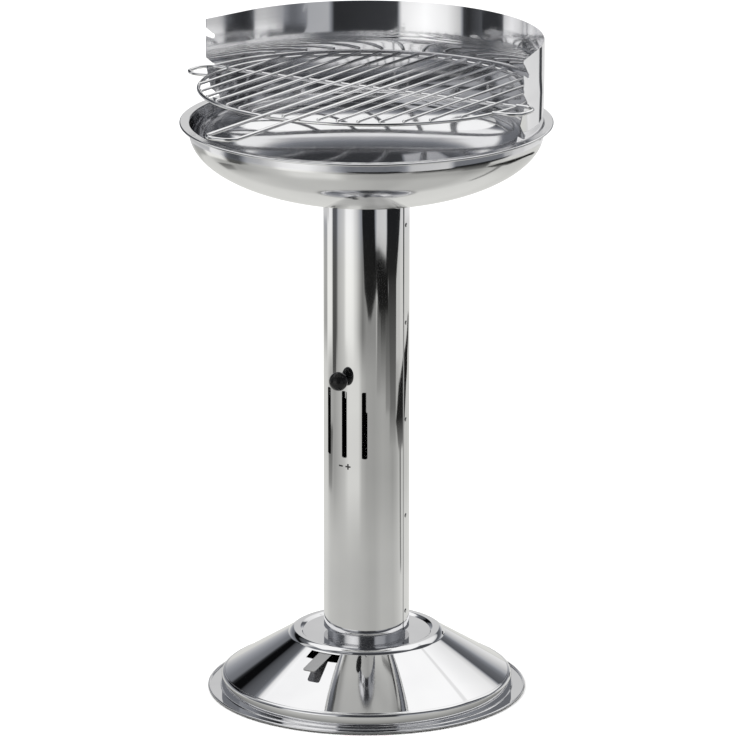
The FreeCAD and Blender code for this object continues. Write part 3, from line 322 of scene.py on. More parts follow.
def cut(me, cutters):
    """me with each closed cutter mesh taken away; the cutters are used up."""
    o = obj_of("tmp_cut", me)
    gone = []
    for k, cm in enumerate(cutters):
        c = obj_of("tmp_tool_%d" % k, cm)
        gone.append(c)
        m = o.modifiers.new("cut%d" % k, "BOOLEAN")
        m.operation = "DIFFERENCE"
        m.solver = "EXACT"
        m.object = c
    bpy.context.view_layer.update()
    dg = bpy.context.evaluated_depsgraph_get()
    out = bpy.data.meshes.new_from_object(o.evaluated_get(dg))
    for x in [o, *gone]:
        data = x.data
        bpy.data.objects.remove(x, do_unlink=True)
        bpy.data.meshes.remove(data)
    out.materials.clear()
    return out


def prism(name, poly, to3d, d0, d1):
    """A closed prism: poly in a plane, to3d(u, v, w) places a point at depth w."""
    n = len(poly)
    a = [to3d(u, v, d0) for u, v in poly]
    b = [to3d(u, v, d1) for u, v in poly]
    faces = [tuple(range(n)), tuple(range(2 * n - 1, n - 1, -1))]
    for i in range(n):
        j = (i + 1) % n
        faces.append((i, i + n, j + n, j))
    me = new_mesh(name, a + b, faces)
    # outward faces, whatever way round the outline came
    P = np.array(a + b)
    vol = 0.0
    for f in faces:
        for k in range(1, len(f) - 1):
            vol += float(np.dot(P[f[0]], np.cross(P[f[k]], P[f[k + 1]])))
    if vol < 0:
        me.flip_normals()
    return me


# ---------------------------------------------------------------- wires and strips
def frames_along(path):
    """Tangents and a normal that is carried along the path without twist."""
    path = np.asarray(path, float)
    t = np.gradient(path, axis=0)
    t /= np.linalg.norm(t, axis=1)[:, None]
    ref = np.array([0.0, 0.0, 1.0]) if abs(t[0][2]) < 0.9 else np.array([1.0, 0.0, 0.0])
    n = [ref - t[0] * (ref @ t[0])]
    n[0] /= np.linalg.norm(n[0])
    for i in range(1, len(path)):
        v = n[-1] - t[i] * (n[-1] @ t[i])
        n.append(v / np.linalg.norm(v))
    return path, t, np.array(n)


def wire(path, r, sides=14, dome=True):
    """Vertices and faces of a round wire along path, with slightly rounded sawn ends."""
    path, t, n = frames_along(path)
    b = np.cross(t, n)
    ends = [(0.0, 1.0)]
    if dome:
        ends = [(0.0, 0.72), (0.10, 0.93), (0.30, 1.0)]
    rings = []
    for off, k in ends:
        rings.append((path[0] + t[0] * off * r, n[0], b[0], k))
    for i in range(1, len(path) - 1):
        rings.append((path[i], n[i], b[i], 1.0))
    for off, k in reversed(ends):
        rings.append((path[-1] - t[-1] * off * r, n[-1], b[-1], k))
    ang = np.arange(sides) * 2 * math.pi / sides
    verts = []
    for p, nn, bb, k in rings:
        for a in ang:
            verts.append(p + (nn * math.cos(a) + bb * math.sin(a)) * r * k)
    faces = []
    for i in range(len(rings) - 1):
        for j in range(sides):
            k = (j + 1) % sides
            faces.append((i * sides + j, i * sides + k, (i + 1) * sides + k, (i + 1) * sides + j))
    v0 = len(verts)
    verts.append(path[0])
    verts.append(path[-1])
    last = (len(rings) - 1) * sides
    for j in range(sides):
        k = (j + 1) % sides
        faces.append((v0, k, j))
        faces.append((v0 + 1, last + j, last + k))
    return verts, faces


def hoop(R, r, z, steps=220, sides=16):
    verts, faces = [], []
    for i in range(steps):
        a = 2 * math.pi * i / steps
        for j in range(sides):
            b = 2 * math.pi * j / sides
            q = R + r * math.cos(b)
            verts.append((q * math.cos(a), q * math.sin(a), z + r * math.sin(b)))
    for i in range(steps):
        i2 = (i + 1) % steps
        for j in range(sides):
            j2 = (j + 1) % sides
            faces.append((i * sides + j, i2 * sides + j, i2 * sides + j2, i * sides + j2))
    return verts, faces


def blob(p, rx, ry, rz, nu=12, nv=7):
    """A squeezed bead of weld metal."""
    verts = [(p[0], p[1], p[2] - rz)]
    for i in range(1, nv):
        v = -math.pi / 2 + math.pi * i / nv
        for j in range(nu):
            u = 2 * math.pi * j / nu
            verts.append(
                (
                    p[0] + rx * math.cos(v) * math.cos(u),
                    p[1] + ry * math.cos(v) * math.sin(u),
                    p[2] + rz * math.sin(v),
                )
            )
    verts.append((p[0], p[1], p[2] + rz))
    top = len(verts) - 1
    faces = []
    for j in range(nu):
        k = (j + 1) % nu
        faces.append((0, 1 + k, 1 + j))
        for i in range(nv - 2):
            a, b = 1 + i * nu, 1 + (i + 1) * nu
            faces.append((a + j, a + k, b + k, b + j))
        a = 1 + (nv - 2) * nu
        faces.append((a + j, a + k, top))
    return verts, faces


def joined(name, bits, crease=40.0):
    verts, faces = [], []
    for v, f in bits:
        k = len(verts)
        verts += [tuple(p) for p in v]
        faces += [tuple(i + k for i in q) for q in f]
    me = new_mesh(name, verts, faces)
    me.polygons.foreach_set("use_smooth", [True] * len(me.polygons))
    me.set_sharp_from_angle(angle=rad(crease))
    return me


def run(points):
    """Points along straight lines and bends: an item is a point, or (corner, radius) for a round bend."""
    out = []
    for i, it in enumerate(points):
        if len(it) == 2 and not np.isscalar(it[0]):
            c, r = np.array(it[0], float), it[1]
            a = np.array(points[i - 1][0] if not np.isscalar(points[i - 1][0]) else points[i - 1], float)
            b = np.array(points[i + 1][0] if not np.isscalar(points[i + 1][0]) else points[i + 1], float)
            u, v = a - c, b - c
            u /= np.linalg.norm(u)
            v /= np.linalg.norm(v)
            half = math.acos(float(u @ v)) / 2
            d = r / math.tan(half)
            centre = c + (u + v) / np.linalg.norm(u + v) * (r / math.sin(half))
            p, q = c + u * d, c + v * d
            sweep = math.pi - 2 * half
            e1 = (p - centre) / r
            e2 = q - centre
            e2 = e2 - e1 * (e2 @ e1)
            e2 /= np.linalg.norm(e2)
            k = 10
            for j in range(k + 1):
                w = sweep * j / k
                out.append(centre + r * (e1 * math.cos(w) + e2 * math.sin(w)))
        else:
            out.append(np.array(it, float))
    # long straight runs get a few more points
    full = [out[0]]
    for p in out[1:]:
        d = np.linalg.norm(p - full[-1])
        m = max(1, int(d / 25.0))
        a = full[-1]
        for j in range(1, m + 1):
            full.append(a + (p - a) * j / m)
    return np.array(full)


# ---------------------------------------------------------------- finishes
class Mat:
    """A node material under construction."""

    def __init__(self, name):
        self.m = bpy.data.materials.new(name)
        self.m.use_nodes = True
        self.t = self.m.node_tree
        self.bsdf = self.t.nodes["Principled BSDF"]
        self.tc = self.t.nodes.new("ShaderNodeTexCoord")
        self.bumped = None

    def node(self, kind, **props):
        n = self.t.nodes.new(kind)
        for k, v in props.items():
            setattr(n, k, v)
        return n

    def link(self, a, b):
        self.t.links.new(a, b)

    def coords(self, scale=(1, 1, 1)):
        mp = self.node("ShaderNodeMapping")
        mp.inputs["Scale"].default_value = scale
        self.link(self.tc.outputs["Object"], mp.inputs["Vector"])
        return mp.outputs["Vector"]

    def noise(self, scale, detail=2.0, rough=0.5, vec=None, stretch=None):
        n = self.node("ShaderNodeTexNoise")
        n.inputs["Scale"].default_value = scale
        n.inputs["Detail"].default_value = detail
        n.inputs["Roughness"].default_value = rough
        self.link(vec if vec is not None else self.coords(stretch or (1, 1, 1)), n.inputs["Vector"])
        return n.outputs["Fac"]

    def spread(self, fac, lo, hi, a=0.3, b=0.7):
        r = self.node("ShaderNodeMapRange")
        r.inputs["From Min"].default_value = a
        r.inputs["From Max"].default_value = b
        r.inputs["To Min"].default_value = lo
        r.inputs["To Max"].default_value = hi
        self.link(fac, r.inputs["Value"])
        return r.outputs["Result"]

    def tint(self, fac, c0, c1, a=0.3, b=0.7):
        r = self.node("ShaderNodeValToRGB")
        r.color_ramp.elements[0].position = a
        r.color_ramp.elements[1].position = b
        r.color_ramp.elements[0].color = (*c0, 1)
        r.color_ramp.elements[1].color = (*c1, 1)
        self.link(fac, r.inputs["Fac"])
        return r.outputs["Color"]

    def math(self, op, a, b):
        n = self.node("ShaderNodeMath", operation=op)
        for i, x in enumerate((a, b)):
            if isinstance(x, (int, float)):
                n.inputs[i].default_value = x
            else:
                self.link(x, n.inputs[i])
        return n.outputs[0]

    def radius(self):
        """Distance from the turning axis, from object coordinates."""
        sp = self.node("ShaderNodeSeparateXYZ")
        self.link(self.tc.outputs["Object"], sp.inputs[0])
        x2 = self.math("MULTIPLY", sp.outputs[0], sp.outputs[0])
        y2 = self.math("MULTIPLY", sp.outputs[1], sp.outputs[1])
        return self.math("SQRT", self.math("ADD", x2, y2), 0.0), sp.outputs[2]

    def rings(self, scale, z_scale=None):
        """Noise that only changes with radius and height: the tracks of a spinning tool."""
        r, z = self.radius()
        cb = self.node("ShaderNodeCombineXYZ")
        self.link(r, cb.inputs[0])
        self.link(z, cb.inputs[2])
        n = self.node("ShaderNodeTexNoise")
        n.inputs["Scale"].default_value = scale
        n.inputs["Detail"].default_value = 3.0
        self.link(cb.outputs[0], n.inputs["Vector"])
        return n.outputs["Fac"]

    def bump(self, height, dist):
        b = self.node("ShaderNodeBump")
        b.inputs["Strength"].default_value = 1.0
        b.inputs["Distance"].default_value = dist
        self.link(height, b.inputs["Height"])
        if self.bumped is not None:
            self.link(self.bumped, b.inputs["Normal"])
        self.bumped = b.outputs["Normal"]
        self.link(self.bumped, self.bsdf.inputs["Normal"])

    def put(self, socket, value):
        s = self.bsdf.inputs[socket]
        if hasattr(value, "is_output"):
            self.link(value, s)
        else:
            s.default_value = value


def steel(name, rough=(0.03, 0.07), light=(0.86, 0.86, 0.865), dark=(0.78, 0.78, 0.79), wave=0.00006,
          wave_scale=16.0, tracks=0.0, track_scale=900.0, grain=0.0, grain_stretch=(1, 1, 1), grain_scale=600.0):
    m = Mat(name)
    m.put("Metallic", 1.0)
    m.put("Base Color", m.tint(m.noise(9.0, 3.0), dark, light))
    smear = m.noise(26.0, 5.0, 0.6)
    m.put("Roughness", m.spread(smear, rough[0], rough[1]))
    if wave:
        m.bump(m.noise(wave_scale, 1.0, 0.4), wave)
    if tracks:
        m.bump(m.rings(track_scale), tracks)
    if grain:
        m.bump(m.noise(grain_scale, 3.0, 0.6, stretch=grain_stretch), grain)
    return m.m


MAT = {}
MAT["foot"] = steel("spun_foot_steel", rough=(0.02, 0.045), wave=0.00006, wave_scale=14.0, tracks=0.0000008)
MAT["column"] = steel("rolled_tube_steel", rough=(0.03, 0.06), wave=0.00005, wave_scale=14.0,
                      grain=0.0000012, grain_stretch=(1, 1, 0.05), grain_scale=900.0)
MAT["shield"] = steel("rolled_sheet_steel", rough=(0.04, 0.08), wave=0.00006, wave_scale=14.0,
                      grain=0.000012, grain_stretch=(0.012, 0.012, 1), grain_scale=420.0)
MAT["formed"] = steel("formed_ring_steel", rough=(0.10, 0.20), wave=0.00005, wave_scale=30.0, tracks=0.000003)
MAT["pan"] = steel("pressed_pan_steel", rough=(0.16, 0.28), light=(0.74, 0.74, 0.74), dark=(0.62, 0.62, 0.63),
                   wave=0.0001, wave_scale=18.0, tracks=0.000004)
# painted shade: the strip's base colour is kept far darker than the other steel's, so the lever reads dark
MAT["strip"] = steel("cut_strip_steel", rough=(0.14, 0.24), light=(0.44, 0.44, 0.44), dark=(0.34, 0.34, 0.345),
                     wave=0.00003, wave_scale=60.0, grain=0.000003, grain_stretch=(1, 0.08, 1), grain_scale=1500.0)
MAT["wire"] = steel("plated_wire", rough=(0.09, 0.18), light=(0.88, 0.88, 0.88), dark=(0.74, 0.74, 0.75),
                    wave=0.00002, wave_scale=180.0)
MAT["grate"] = steel("grate_wire", rough=(0.18, 0.32), light=(0.72, 0.72, 0.72), dark=(0.56, 0.56, 0.57),
                     wave=0.00003, wave_scale=160.0)
MAT["bolt"] = steel("fastener_steel", rough=(0.16, 0.30), light=(0.76, 0.76, 0.76), dark=(0.60, 0.60, 0.61),
                    wave=0.00002, wave_scale=300.0, grain=0.000003, grain_scale=2500.0)


def bowl_steel():
    """Satin outside, polished inside: the two faces of the sheet are told apart by their place on the oval."""
    m = Mat("spun_bowl_steel")
    m.put("Metallic", 1.0)
    m.put("Base Color", m.tint(m.noise(9.0, 3.0), (0.78, 0.78, 0.79), (0.86, 0.86, 0.865)))
    r, z = m.radius()
    u = m.math("DIVIDE", r, 0.2165)
    v = m.math("DIVIDE", m.math("SUBTRACT", z, 0.7106), 0.0847)
    oval = m.math("ADD", m.math("MULTIPLY", u, u), m.math("MULTIPLY", v, v))
    outer = m.spread(oval, 0.0, 0.045, 0.994, 0.996)
    m.put("Roughness", m.math("ADD", m.spread(m.noise(26.0, 5.0, 0.6), 0.035, 0.075), outer))
    m.bump(m.noise(12.0, 1.0, 0.4), 0.00006)
    m.bump(m.rings(900.0), 0.0000015)
    return m.m


def rivet_steel_painted_rim_shade():
    """Set rivets, dull, with painted shade round the rim of each head: the distance from each rivet's own axis drives
    the darkening.
    """
    m = Mat("set_rivet_painted_rim_shade")
    m.put("Metallic", 1.0)
    sp = m.node("ShaderNodeSeparateXYZ")
    m.link(m.tc.outputs["Object"], sp.inputs[0])
    a = rad(4.75)
    across = m.math("SUBTRACT", m.math("MULTIPLY", sp.outputs[1], math.cos(a)), m.math("MULTIPLY", sp.outputs[0], math.sin(a)))
    along = m.math("SUBTRACT", m.math("MODULO", m.math("ADD", sp.outputs[2], -0.0424), 0.1232), 0.0616)
    d = m.math("SQRT", m.math("ADD", m.math("MULTIPLY", across, across), m.math("MULTIPLY", along, along)), 0.0)
    grain = m.math("MULTIPLY", m.math("SUBTRACT", m.noise(2200.0, 3.0, 0.6), 0.5), 0.0006)
    # painted shade: the base colour goes near black towards the rim of each head, drawn as a dark outline round it
    m.put("Base Color", m.tint(m.math("MULTIPLY", m.math("ADD", d, grain), 300.0), (0.72, 0.72, 0.72), (0.10, 0.10, 0.105), 0.36, 0.66))
    m.put("Roughness", m.spread(m.noise(1500.0, 3.0), 0.14, 0.3))
    return m.m


def sleeve_painted_shade():
    """Sleeve behind the air slots, dull and painted near black: painted shade, so the slots read as dark openings."""
    m = Mat("sleeve_painted_slot_shade")
    # painted shade: a near black base colour in place of the sleeve's own steel colour
    m.put("Base Color", m.tint(m.noise(120.0, 4.0), (0.006, 0.006, 0.006), (0.02, 0.019, 0.018)))
    m.put("Metallic", 0.2)
    m.put("Specular IOR Level", 0.1)
    m.put("Roughness", m.spread(m.noise(300.0, 4.0), 0.6, 0.85))
    return m.m


def knob_black():
    m = Mat("moulded_black_plastic")
    m.put("Base Color", m.tint(m.noise(60.0, 4.0), (0.003, 0.003, 0.0035), (0.006, 0.006, 0.006)))
    m.put("Roughness", m.spread(m.noise(140.0, 5.0, 0.6), 0.10, 0.24))
    m.put("Specular IOR Level", 0.3)
    m.put("IOR", 1.5)
    m.bump(m.noise(900.0, 3.0, 0.5), 0.000004)
    return m.m


def ink_dark():
    m = Mat("etched_mark_dark")
    m.put("Base Color", m.tint(m.noise(900.0, 3.0), (0.015, 0.015, 0.016), (0.05, 0.05, 0.05)))
    m.put("Metallic", 0.4)
    m.put("Roughness", m.spread(m.noise(1500.0, 3.0), 0.35, 0.6))
    return m.m


MAT["bowl"] = bowl_steel()
MAT["rivet"] = rivet_steel_painted_rim_shade()
MAT["sleeve"] = sleeve_painted_shade()
MAT["knob"] = knob_black()
MAT["mark"] = ink_dark()


def dress(o, key):
    o.data.materials.clear()
    o.data.materials.append(MAT[key])


def place(me, name, body, key, node=None):
    """A finished piece: it rides on its body, and stands for its CAD node when it has one."""
    o = obj_of(name, me)
    dress(o, key)
    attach(o, body)
    if node:
        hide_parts(node)
    return o


def turned(name, items, n, body, key, node, cutters=(), to=None, soft=64.0, width=0.7):
    line = Outline(items, width=width, soft=soft)
    me = spun_mesh(name, line, n)
    if cutters:
        me = cut(me, cutters)
        me.name = name
    shade_spun(me, line)
    return place(me, name, body, key, node)


# ---------------------------------------------------------------- foot, pan and rings
def sector_prism(name, r0, r1, mid, half, z0, z1, n=10):
    pts = [(r0 * math.cos(rad(a)), r0 * math.sin(rad(a))) for a in np.linspace(mid - half, mid + half, n)]
    pts += [(r1 * math.cos(rad(a)), r1 * math.sin(rad(a))) for a in np.linspace(mid + half, mid - half, n)]
    return prism(name, pts, lambda u, v, w: (u, v, w), z0, z1)


FOOT = [
    (0, 71), (79.5, 71, (10.6, False, False)), (96.4, 68.5), (175.4, 19.3, (3.5, False, False)),
    (179.5, 15.4), (179.5, 0), (195.7, 0, (1.6, True, True)), (194.15, 1.2), (182.1, 1.2, (1.6, False, False)),
    (180.5, 2.8), (180.5, 16, (4.5, True, False)), (176, 20.3), (97, 69.5, (11.6, True, False)), (79, 72), (0, 72),
]
vents = [sector_prism("vent%d" % k, 11, 33, 18 + 36 * k, 6.0, 68, 75) for k in range(10)]
window = sector_prism("window", 92, 118, -90, 11.8, 61.4, 68.3, 24)
turned("foot_shell", FOOT, 360, "pedestal", "foot", "base_foot", cutters=vents + [window])

PAN = [
    (0, 0), (112, 0, (4.0, True, False)), (115.4, 3), (121, 27, (1.6, True, True)), (120.2, 27),
    (114.6, 3.2, (3.2, False, False)), (112, 0.8), (0, 0.8),
]
turned("ash_pan_shell", PAN, 200, "pan", "pan", "ash_pan")

LOW_RING = [
    (36, 72), (48.3, 72), (48.3, 78.7), (53, 78.7), (53, 79.9), (51.95, 79.9), (51.95, 99.9), (50.75, 99.9),
    (50.75, 79.9), (47.1, 79.9), (47.1, 73.2), (36, 73.2),
]
turned("lower_ring_shell", LOW_RING, 180, "pedestal", "formed", "column_bottom_ring")
TOP_RING = [(37, 628), (50.75, 628), (50.75, 604.2), (51.95, 604.2), (51.95, 629.2), (37, 629.2)]
turned("upper_ring_shell", TOP_RING, 180, "pedestal", "formed", "column_top_ring")

# ---------------------------------------------------------------- fire bowl
BZ, BA, BB = 710.6, 216.5, 84.7


def on_oval(z, a, b):
    return a * math.sqrt(1 - ((BZ - z) / b) ** 2)


BOWL = [
    (33, 629.2), (on_oval(629.2, BA, BB), 629.2, ("oval", BA, BB, BZ)), (BA, BZ), (BA, 719.8, (1.5, False, False)),
    (218, 721.3), (225.1, 721.3, (1.5, True, True)), (226.1, 722.3), (218, 722.3, (2.5, True, False)),
    (215.5, 719.8), (215.5, BZ, ("oval", BA - 1, BB - 1, BZ)), (on_oval(630.2, BA - 1, BB - 1), 630.2), (33, 630.2),
]
turned("fire_bowl_shell", BOWL, 360, "pedestal", "bowl", "fire_bowl")


# ---------------------------------------------------------------- column tube and windshield: bent sheet
def sheet_mesh(name, th, z, ro, ri, closed):
    """Sheet between ri(th) and ro(th) over the heights z. th in radians, rising."""
    n, m = len(th), len(z)
    c, s = np.cos(th), np.sin(th)
    verts = []
    for R in (ro, ri):
        for k in range(m):
            verts.append(np.stack([R * c, R * s, np.full(n, z[k])], 1))
    verts = np.concatenate(verts)
    off = n * m

    def vid(side, i, k):
        return side * off + k * n + (i % n)

    faces = []
    spans = n if closed else n - 1
    for k in range(m - 1):
        for i in range(spans):
            faces.append((vid(0, i, k), vid(0, i + 1, k), vid(0, i + 1, k + 1), vid(0, i, k + 1)))
            faces.append((vid(1, i, k), vid(1, i, k + 1), vid(1, i + 1, k + 1), vid(1, i + 1, k)))
    for i in range(spans):
        faces.append((vid(0, i, m - 1), vid(0, i + 1, m - 1), vid(1, i + 1, m - 1), vid(1, i, m - 1)))
        faces.append((vid(0, i, 0), vid(1, i, 0), vid(1, i + 1, 0), vid(0, i + 1, 0)))
    if not closed:
        for k in range(m - 1):
            faces.append((vid(0, 0, k), vid(0, 0, k + 1), vid(1, 0, k + 1), vid(1, 0, k)))
            e = n - 1
            faces.append((vid(0, e, k), vid(1, e, k), vid(1, e, k + 1), vid(0, e, k + 1)))
    return new_mesh(name, verts, faces)


def shade_sheet(me, radius_of, split):
    """Normals of a bent sheet from its own radius function; edges keep their own direction."""
    P, F = loop_data(me)
    th = np.arctan2(P[:, 1], P[:, 0])
    r = np.hypot(P[:, 0], P[:, 1])
    d = 2e-4
    R0, R1 = radius_of(th - d), radius_of(th + d)
    slope = (R1 - R0) / (2 * d)
    out = r > split(th)
    slope = np.where(out, slope, 0.0)
    er = np.stack([np.cos(th), np.sin(th), 0 * th], 1)
    et = np.stack([-np.sin(th), np.cos(th), 0 * th], 1)
    N = er * r[:, None] - et * slope[:, None]
    N /= np.linalg.norm(N, axis=1)[:, None]
    dot = np.sum(N * F, axis=1)
    N = np.where((dot < 0)[:, None], -N, N)
    keep = np.abs(dot) < 0.75
    N[keep] = F[keep]
    set_normals(me, N)


LAP0, LAP1, LAP2 = rad(0.0), rad(9.5), rad(10.5)
CR, CI, CLAP = 53.0, 52.0, 53.8


def column_radius(th):
    th = np.mod(np.asarray(th) + 1e-9, 2 * math.pi)
    ramp = np.clip((LAP2 - th) / (LAP2 - LAP1), 0, 1)
    ramp = ramp * ramp * (3 - 2 * ramp)
    return np.where((th >= LAP0) & (th <= LAP2), CR + (CLAP - CR) * ramp, CR)


th = np.linspace(0, 2 * math.pi, 289)[:-1]
extra = np.array([LAP0 - 0.0006, LAP1, *np.linspace(LAP1, LAP2, 6)[1:]])
th = np.unique(np.round(np.mod(np.concatenate([th, extra]), 2 * math.pi), 7))
zz = np.unique(np.concatenate([np.linspace(79.9, 629, 50)]))
col = sheet_mesh("column_raw", th, zz, column_radius(th), np.full(len(th), CI), True)


def slot_poly(hw, z0, z1, r, n=7):
    pts = []
    for cx, cz, a0 in ((hw - r, z0 + r, -90), (hw - r, z1 - r, 0), (-hw + r, z1 - r, 90), (-hw + r, z0 + r, 180)):
        for a in np.linspace(a0, a0 + 90, n):
            pts.append((cx + r * math.cos(rad(a)), cz + r * math.sin(rad(a))))
    return pts


def front(psi):
    """Places (across, up, depth) on the column's front, turned by psi about the axis towards +X."""
    s, c = math.sin(rad(psi)), math.cos(rad(psi))
    return lambda u, v, w: (u * c + w * s, u * s - w * c, v)


tools = [prism("slot%d" % k, slot_poly(3.5, 307.5, 392.5, 2.0), front(p), 44, 60) for k, p in enumerate((-28.5, 0.0, 28.5))]
knob_slot = [(2.3 * math.cos(rad(a)), 408 + 2.3 * math.sin(rad(a))) for a in np.linspace(-90, 90, 13)]
knob_slot += [(-8.391 + 2.3 * math.cos(rad(a)), 408 + 2.3 * math.sin(rad(a))) for a in np.linspace(90, 270, 13)]
tools.append(prism("knob_slot", knob_slot, front(0.0), 44, 60))
col = cut(col, tools)
col.name = "column_shell"
shade_sheet(col, column_radius, lambda t: 52.5 + 0 * t)
place(col, "column_shell", "pedestal", "column", "column_tube")

# seam rivets: one turned form, set five times up the lap
RIV = [
    (0, 51), (1.9, 51), (2.5, 51.93), (1.5, 51.93), (1.5, 53.8), (2.7, 53.8, (4.145, True, False)), (0, 54.8),
]
line = Outline(RIV, width=0.15)
ang = rad(4.75)
bits = []
for k in range(5):
    me = spun_mesh("rv", line, 24)
    co = np.empty(len(me.vertices) * 3)
    me.vertices.foreach_get("co", co)
    co = co.reshape(-1, 3) / MM
    out = np.array([math.cos(ang), math.sin(ang), 0.0])
    up = np.array([0.0, 0.0, 1.0])
    side = np.cross(out, up)
    P = co[:, :1] * up + co[:, 1:2] * side + co[:, 2:3] * out + np.array([0, 0, 104.0 + 123.2 * k])
    # up x side is out or -out: keep the faces turned outwards
    flip = float(np.dot(np.cross(up, side), out)) < 0
    fs = [tuple(p.vertices) for p in me.polygons]
    if flip:
        fs = [f[::-1] for f in fs]
    bits.append((P.tolist(), fs))
    bpy.data.meshes.remove(me)
place(joined("seam_rivet_heads", bits, 50), "seam_rivet_heads", "pedestal", "rivet", "seam_rivets")

# windshield: half round in the bowl, spread and running straight towards its two ends above it
WO, WI, VO, VI = 215.3, 214.5, 216.4, 215.6
WEND, WFLAT = 8.6, rad(14.3)
LEAN0, LEAN1 = 722.6, 765.0
TURN = rad(0.9)


def shield_plan(u, r0, r1, w):
    """Plan of the sheet: u runs from 0 at the right end to 4 at the left end, w from the lower to the upper plan."""
    u = np.asarray(u, float)
    v = np.where(u > 2, 4 - u, u)
    tip = -math.asin(WEND / r0)
    arc = WFLAT + (math.pi / 2 - WFLAT) * (v - 1)
    a = np.where(v < 1, tip + (WFLAT - tip) * v, arc)
    low = np.stack([r0 * np.cos(a), r0 * np.sin(a)], -1)
    end = np.array([r1 / math.cos(WFLAT) + WEND * math.tan(WFLAT), -WEND])
    bend = np.array([r1 * math.cos(WFLAT), r1 * math.sin(WFLAT)])
    high = np.where((v < 1)[..., None], end + (bend - end) * v[..., None],
                    np.stack([r1 * np.cos(arc), r1 * np.sin(arc)], -1))
    w = np.asarray(w, float)[..., None]
    P = low * (1 - w) + high * w
    P[..., 0] = np.where(u > 2, -P[..., 0], P[..., 0])
    return P


def shield_mesh(name):
    u = np.unique(np.concatenate([np.linspace(0, 1, 9), np.linspace(1, 3, 241), np.linspace(3, 4, 9)]))
    z = np.unique(np.concatenate([np.linspace(708, LEAN0, 5), np.linspace(LEAN0, LEAN1, 15), np.linspace(LEAN1, 824.5, 13)]))
    n, m = len(u), len(z)
    verts = []
    for r0, r1 in ((WO, VO), (WI, VI)):
        for k in range(m):
            w = np.full(n, np.clip((z[k] - LEAN0) / (LEAN1 - LEAN0), 0, 1))
            P = shield_plan(u, r0, r1, w)
            verts.append(np.concatenate([P, np.full((n, 1), z[k])], 1))
    verts = np.concatenate(verts)

    def vid(side, i, k):
        return side * n * m + k * n + i

    faces = []
    for i in range(n - 1):
        for k in range(m - 1):
            faces.append((vid(0, i, k), vid(0, i + 1, k), vid(0, i + 1, k + 1), vid(0, i, k + 1)))
            faces.append((vid(1, i, k), vid(1, i, k + 1), vid(1, i + 1, k + 1), vid(1, i + 1, k)))
        faces.append((vid(0, i, m - 1), vid(0, i + 1, m - 1), vid(1, i + 1, m - 1), vid(1, i, m - 1)))
        faces.append((vid(0, i, 0), vid(1, i, 0), vid(1, i + 1, 0), vid(0, i + 1, 0)))
    e = n - 1
    for k in range(m - 1):
        faces.append((vid(0, 0, k), vid(0, 0, k + 1), vid(1, 0, k + 1), vid(1, 0, k)))
        faces.append((vid(0, e, k), vid(1, e, k), vid(1, e, k + 1), vid(0, e, k + 1)))
    return new_mesh(name, verts, faces)


def ease_in(t):
    t = np.clip(t, 0, 1)
    return t * t * (3 - 2 * t)


def shade_shield(me):
    """Normals from the plan itself, with the two folds of the lean rubbed a little round."""
    P, F = loop_data(me)
    z = P[:, 2]
    w = np.clip((z - LEAN0) / (LEAN1 - LEAN0), 0, 1)
    soft = 5.0
    up = np.clip((z - LEAN0 + soft) / (2 * soft), 0, 1)
    dn = np.clip((LEAN1 + soft - z) / (2 * soft), 0, 1)
    dw = up * up * (3 - 2 * up) * dn * dn * (3 - 2 * dn) / (LEAN1 - LEAN0)
    th = np.arctan2(P[:, 1], P[:, 0])
    th = np.where(th < -math.pi / 2, th + 2 * math.pi, th)
    best, N = np.full(len(P), 1e9), F.copy()
    for r0, r1 in ((WO, VO), (WI, VI)):
        lo, hi = np.zeros(len(P)), np.full(len(P), 4.0)
        for _ in range(34):
            mid = (lo + hi) / 2
            Q = shield_plan(mid, r0, r1, w)
            t = np.arctan2(Q[:, 1], Q[:, 0])
            t = np.where(t < -math.pi / 2, t + 2 * math.pi, t)
            lo, hi = np.where(t < th, mid, lo), np.where(t < th, hi, mid)
        u = (lo + hi) / 2
        d = 2e-3
        tu = shield_plan(np.clip(u + d, 0, 4), r0, r1, w) - shield_plan(np.clip(u - d, 0, 4), r0, r1, w)
        lean = (shield_plan(u, r0, r1, np.ones(len(u))) - shield_plan(u, r0, r1, np.zeros(len(u)))) * dw[:, None]
        M = np.stack([tu[:, 1], -tu[:, 0], tu[:, 0] * lean[:, 1] - tu[:, 1] * lean[:, 0]], 1)
        M /= np.linalg.norm(M, axis=1)[:, None]
        off = np.linalg.norm(shield_plan(u, r0, r1, w) - P[:, :2], axis=1)
        take = off < best
        best = np.where(take, off, best)
        N[take] = M[take]
    dot = np.sum(N * F, axis=1)
    N = np.where((dot < 0)[:, None], -N, N)
    keep = np.abs(dot) < 0.75
    # the sheet reads as leaning out a little towards its top edge
    out = np.sign(np.sum(N[:, :2] * P[:, :2], axis=1))
    N[:, 2] -= out * math.tan(rad(5.5)) * ease_in((z - LEAN1) / 24.0)
    N /= np.linalg.norm(N, axis=1)[:, None]
    N[keep] = F[keep]
    set_normals(me, N)


ws = shield_mesh("shield_raw")
notches = []
ct, st = math.cos(TURN), math.sin(TURN)
for k in (-1, 0, 1):
    zb, sy, sr = 760.4 + 37.9 * k, 6.3, 3.2
    run_y = sy + WEND
    poly = [(sy + sr * math.cos(rad(a)), zb + sr + sr * math.sin(rad(a))) for a in np.linspace(-90, 90, 13)]
    poly += [(-20.0, zb + 2 * sr + (18.6 - 2 * sr) / run_y * (sy + 20.0)), (-20.0, zb + 6.4 / run_y * (sy + 20.0))]
    for side in (-1, 1):
        notches.append(prism("notch", poly, lambda u, v, w: (w * ct - u * st, w * st + u * ct, v), side * 200.0, side * 240.0))
ws = cut(ws, notches)
ws.name = "windshield_shell"
shade_shield(ws)
place(ws, "windshield_shell", "pedestal", "shield", "windshield")

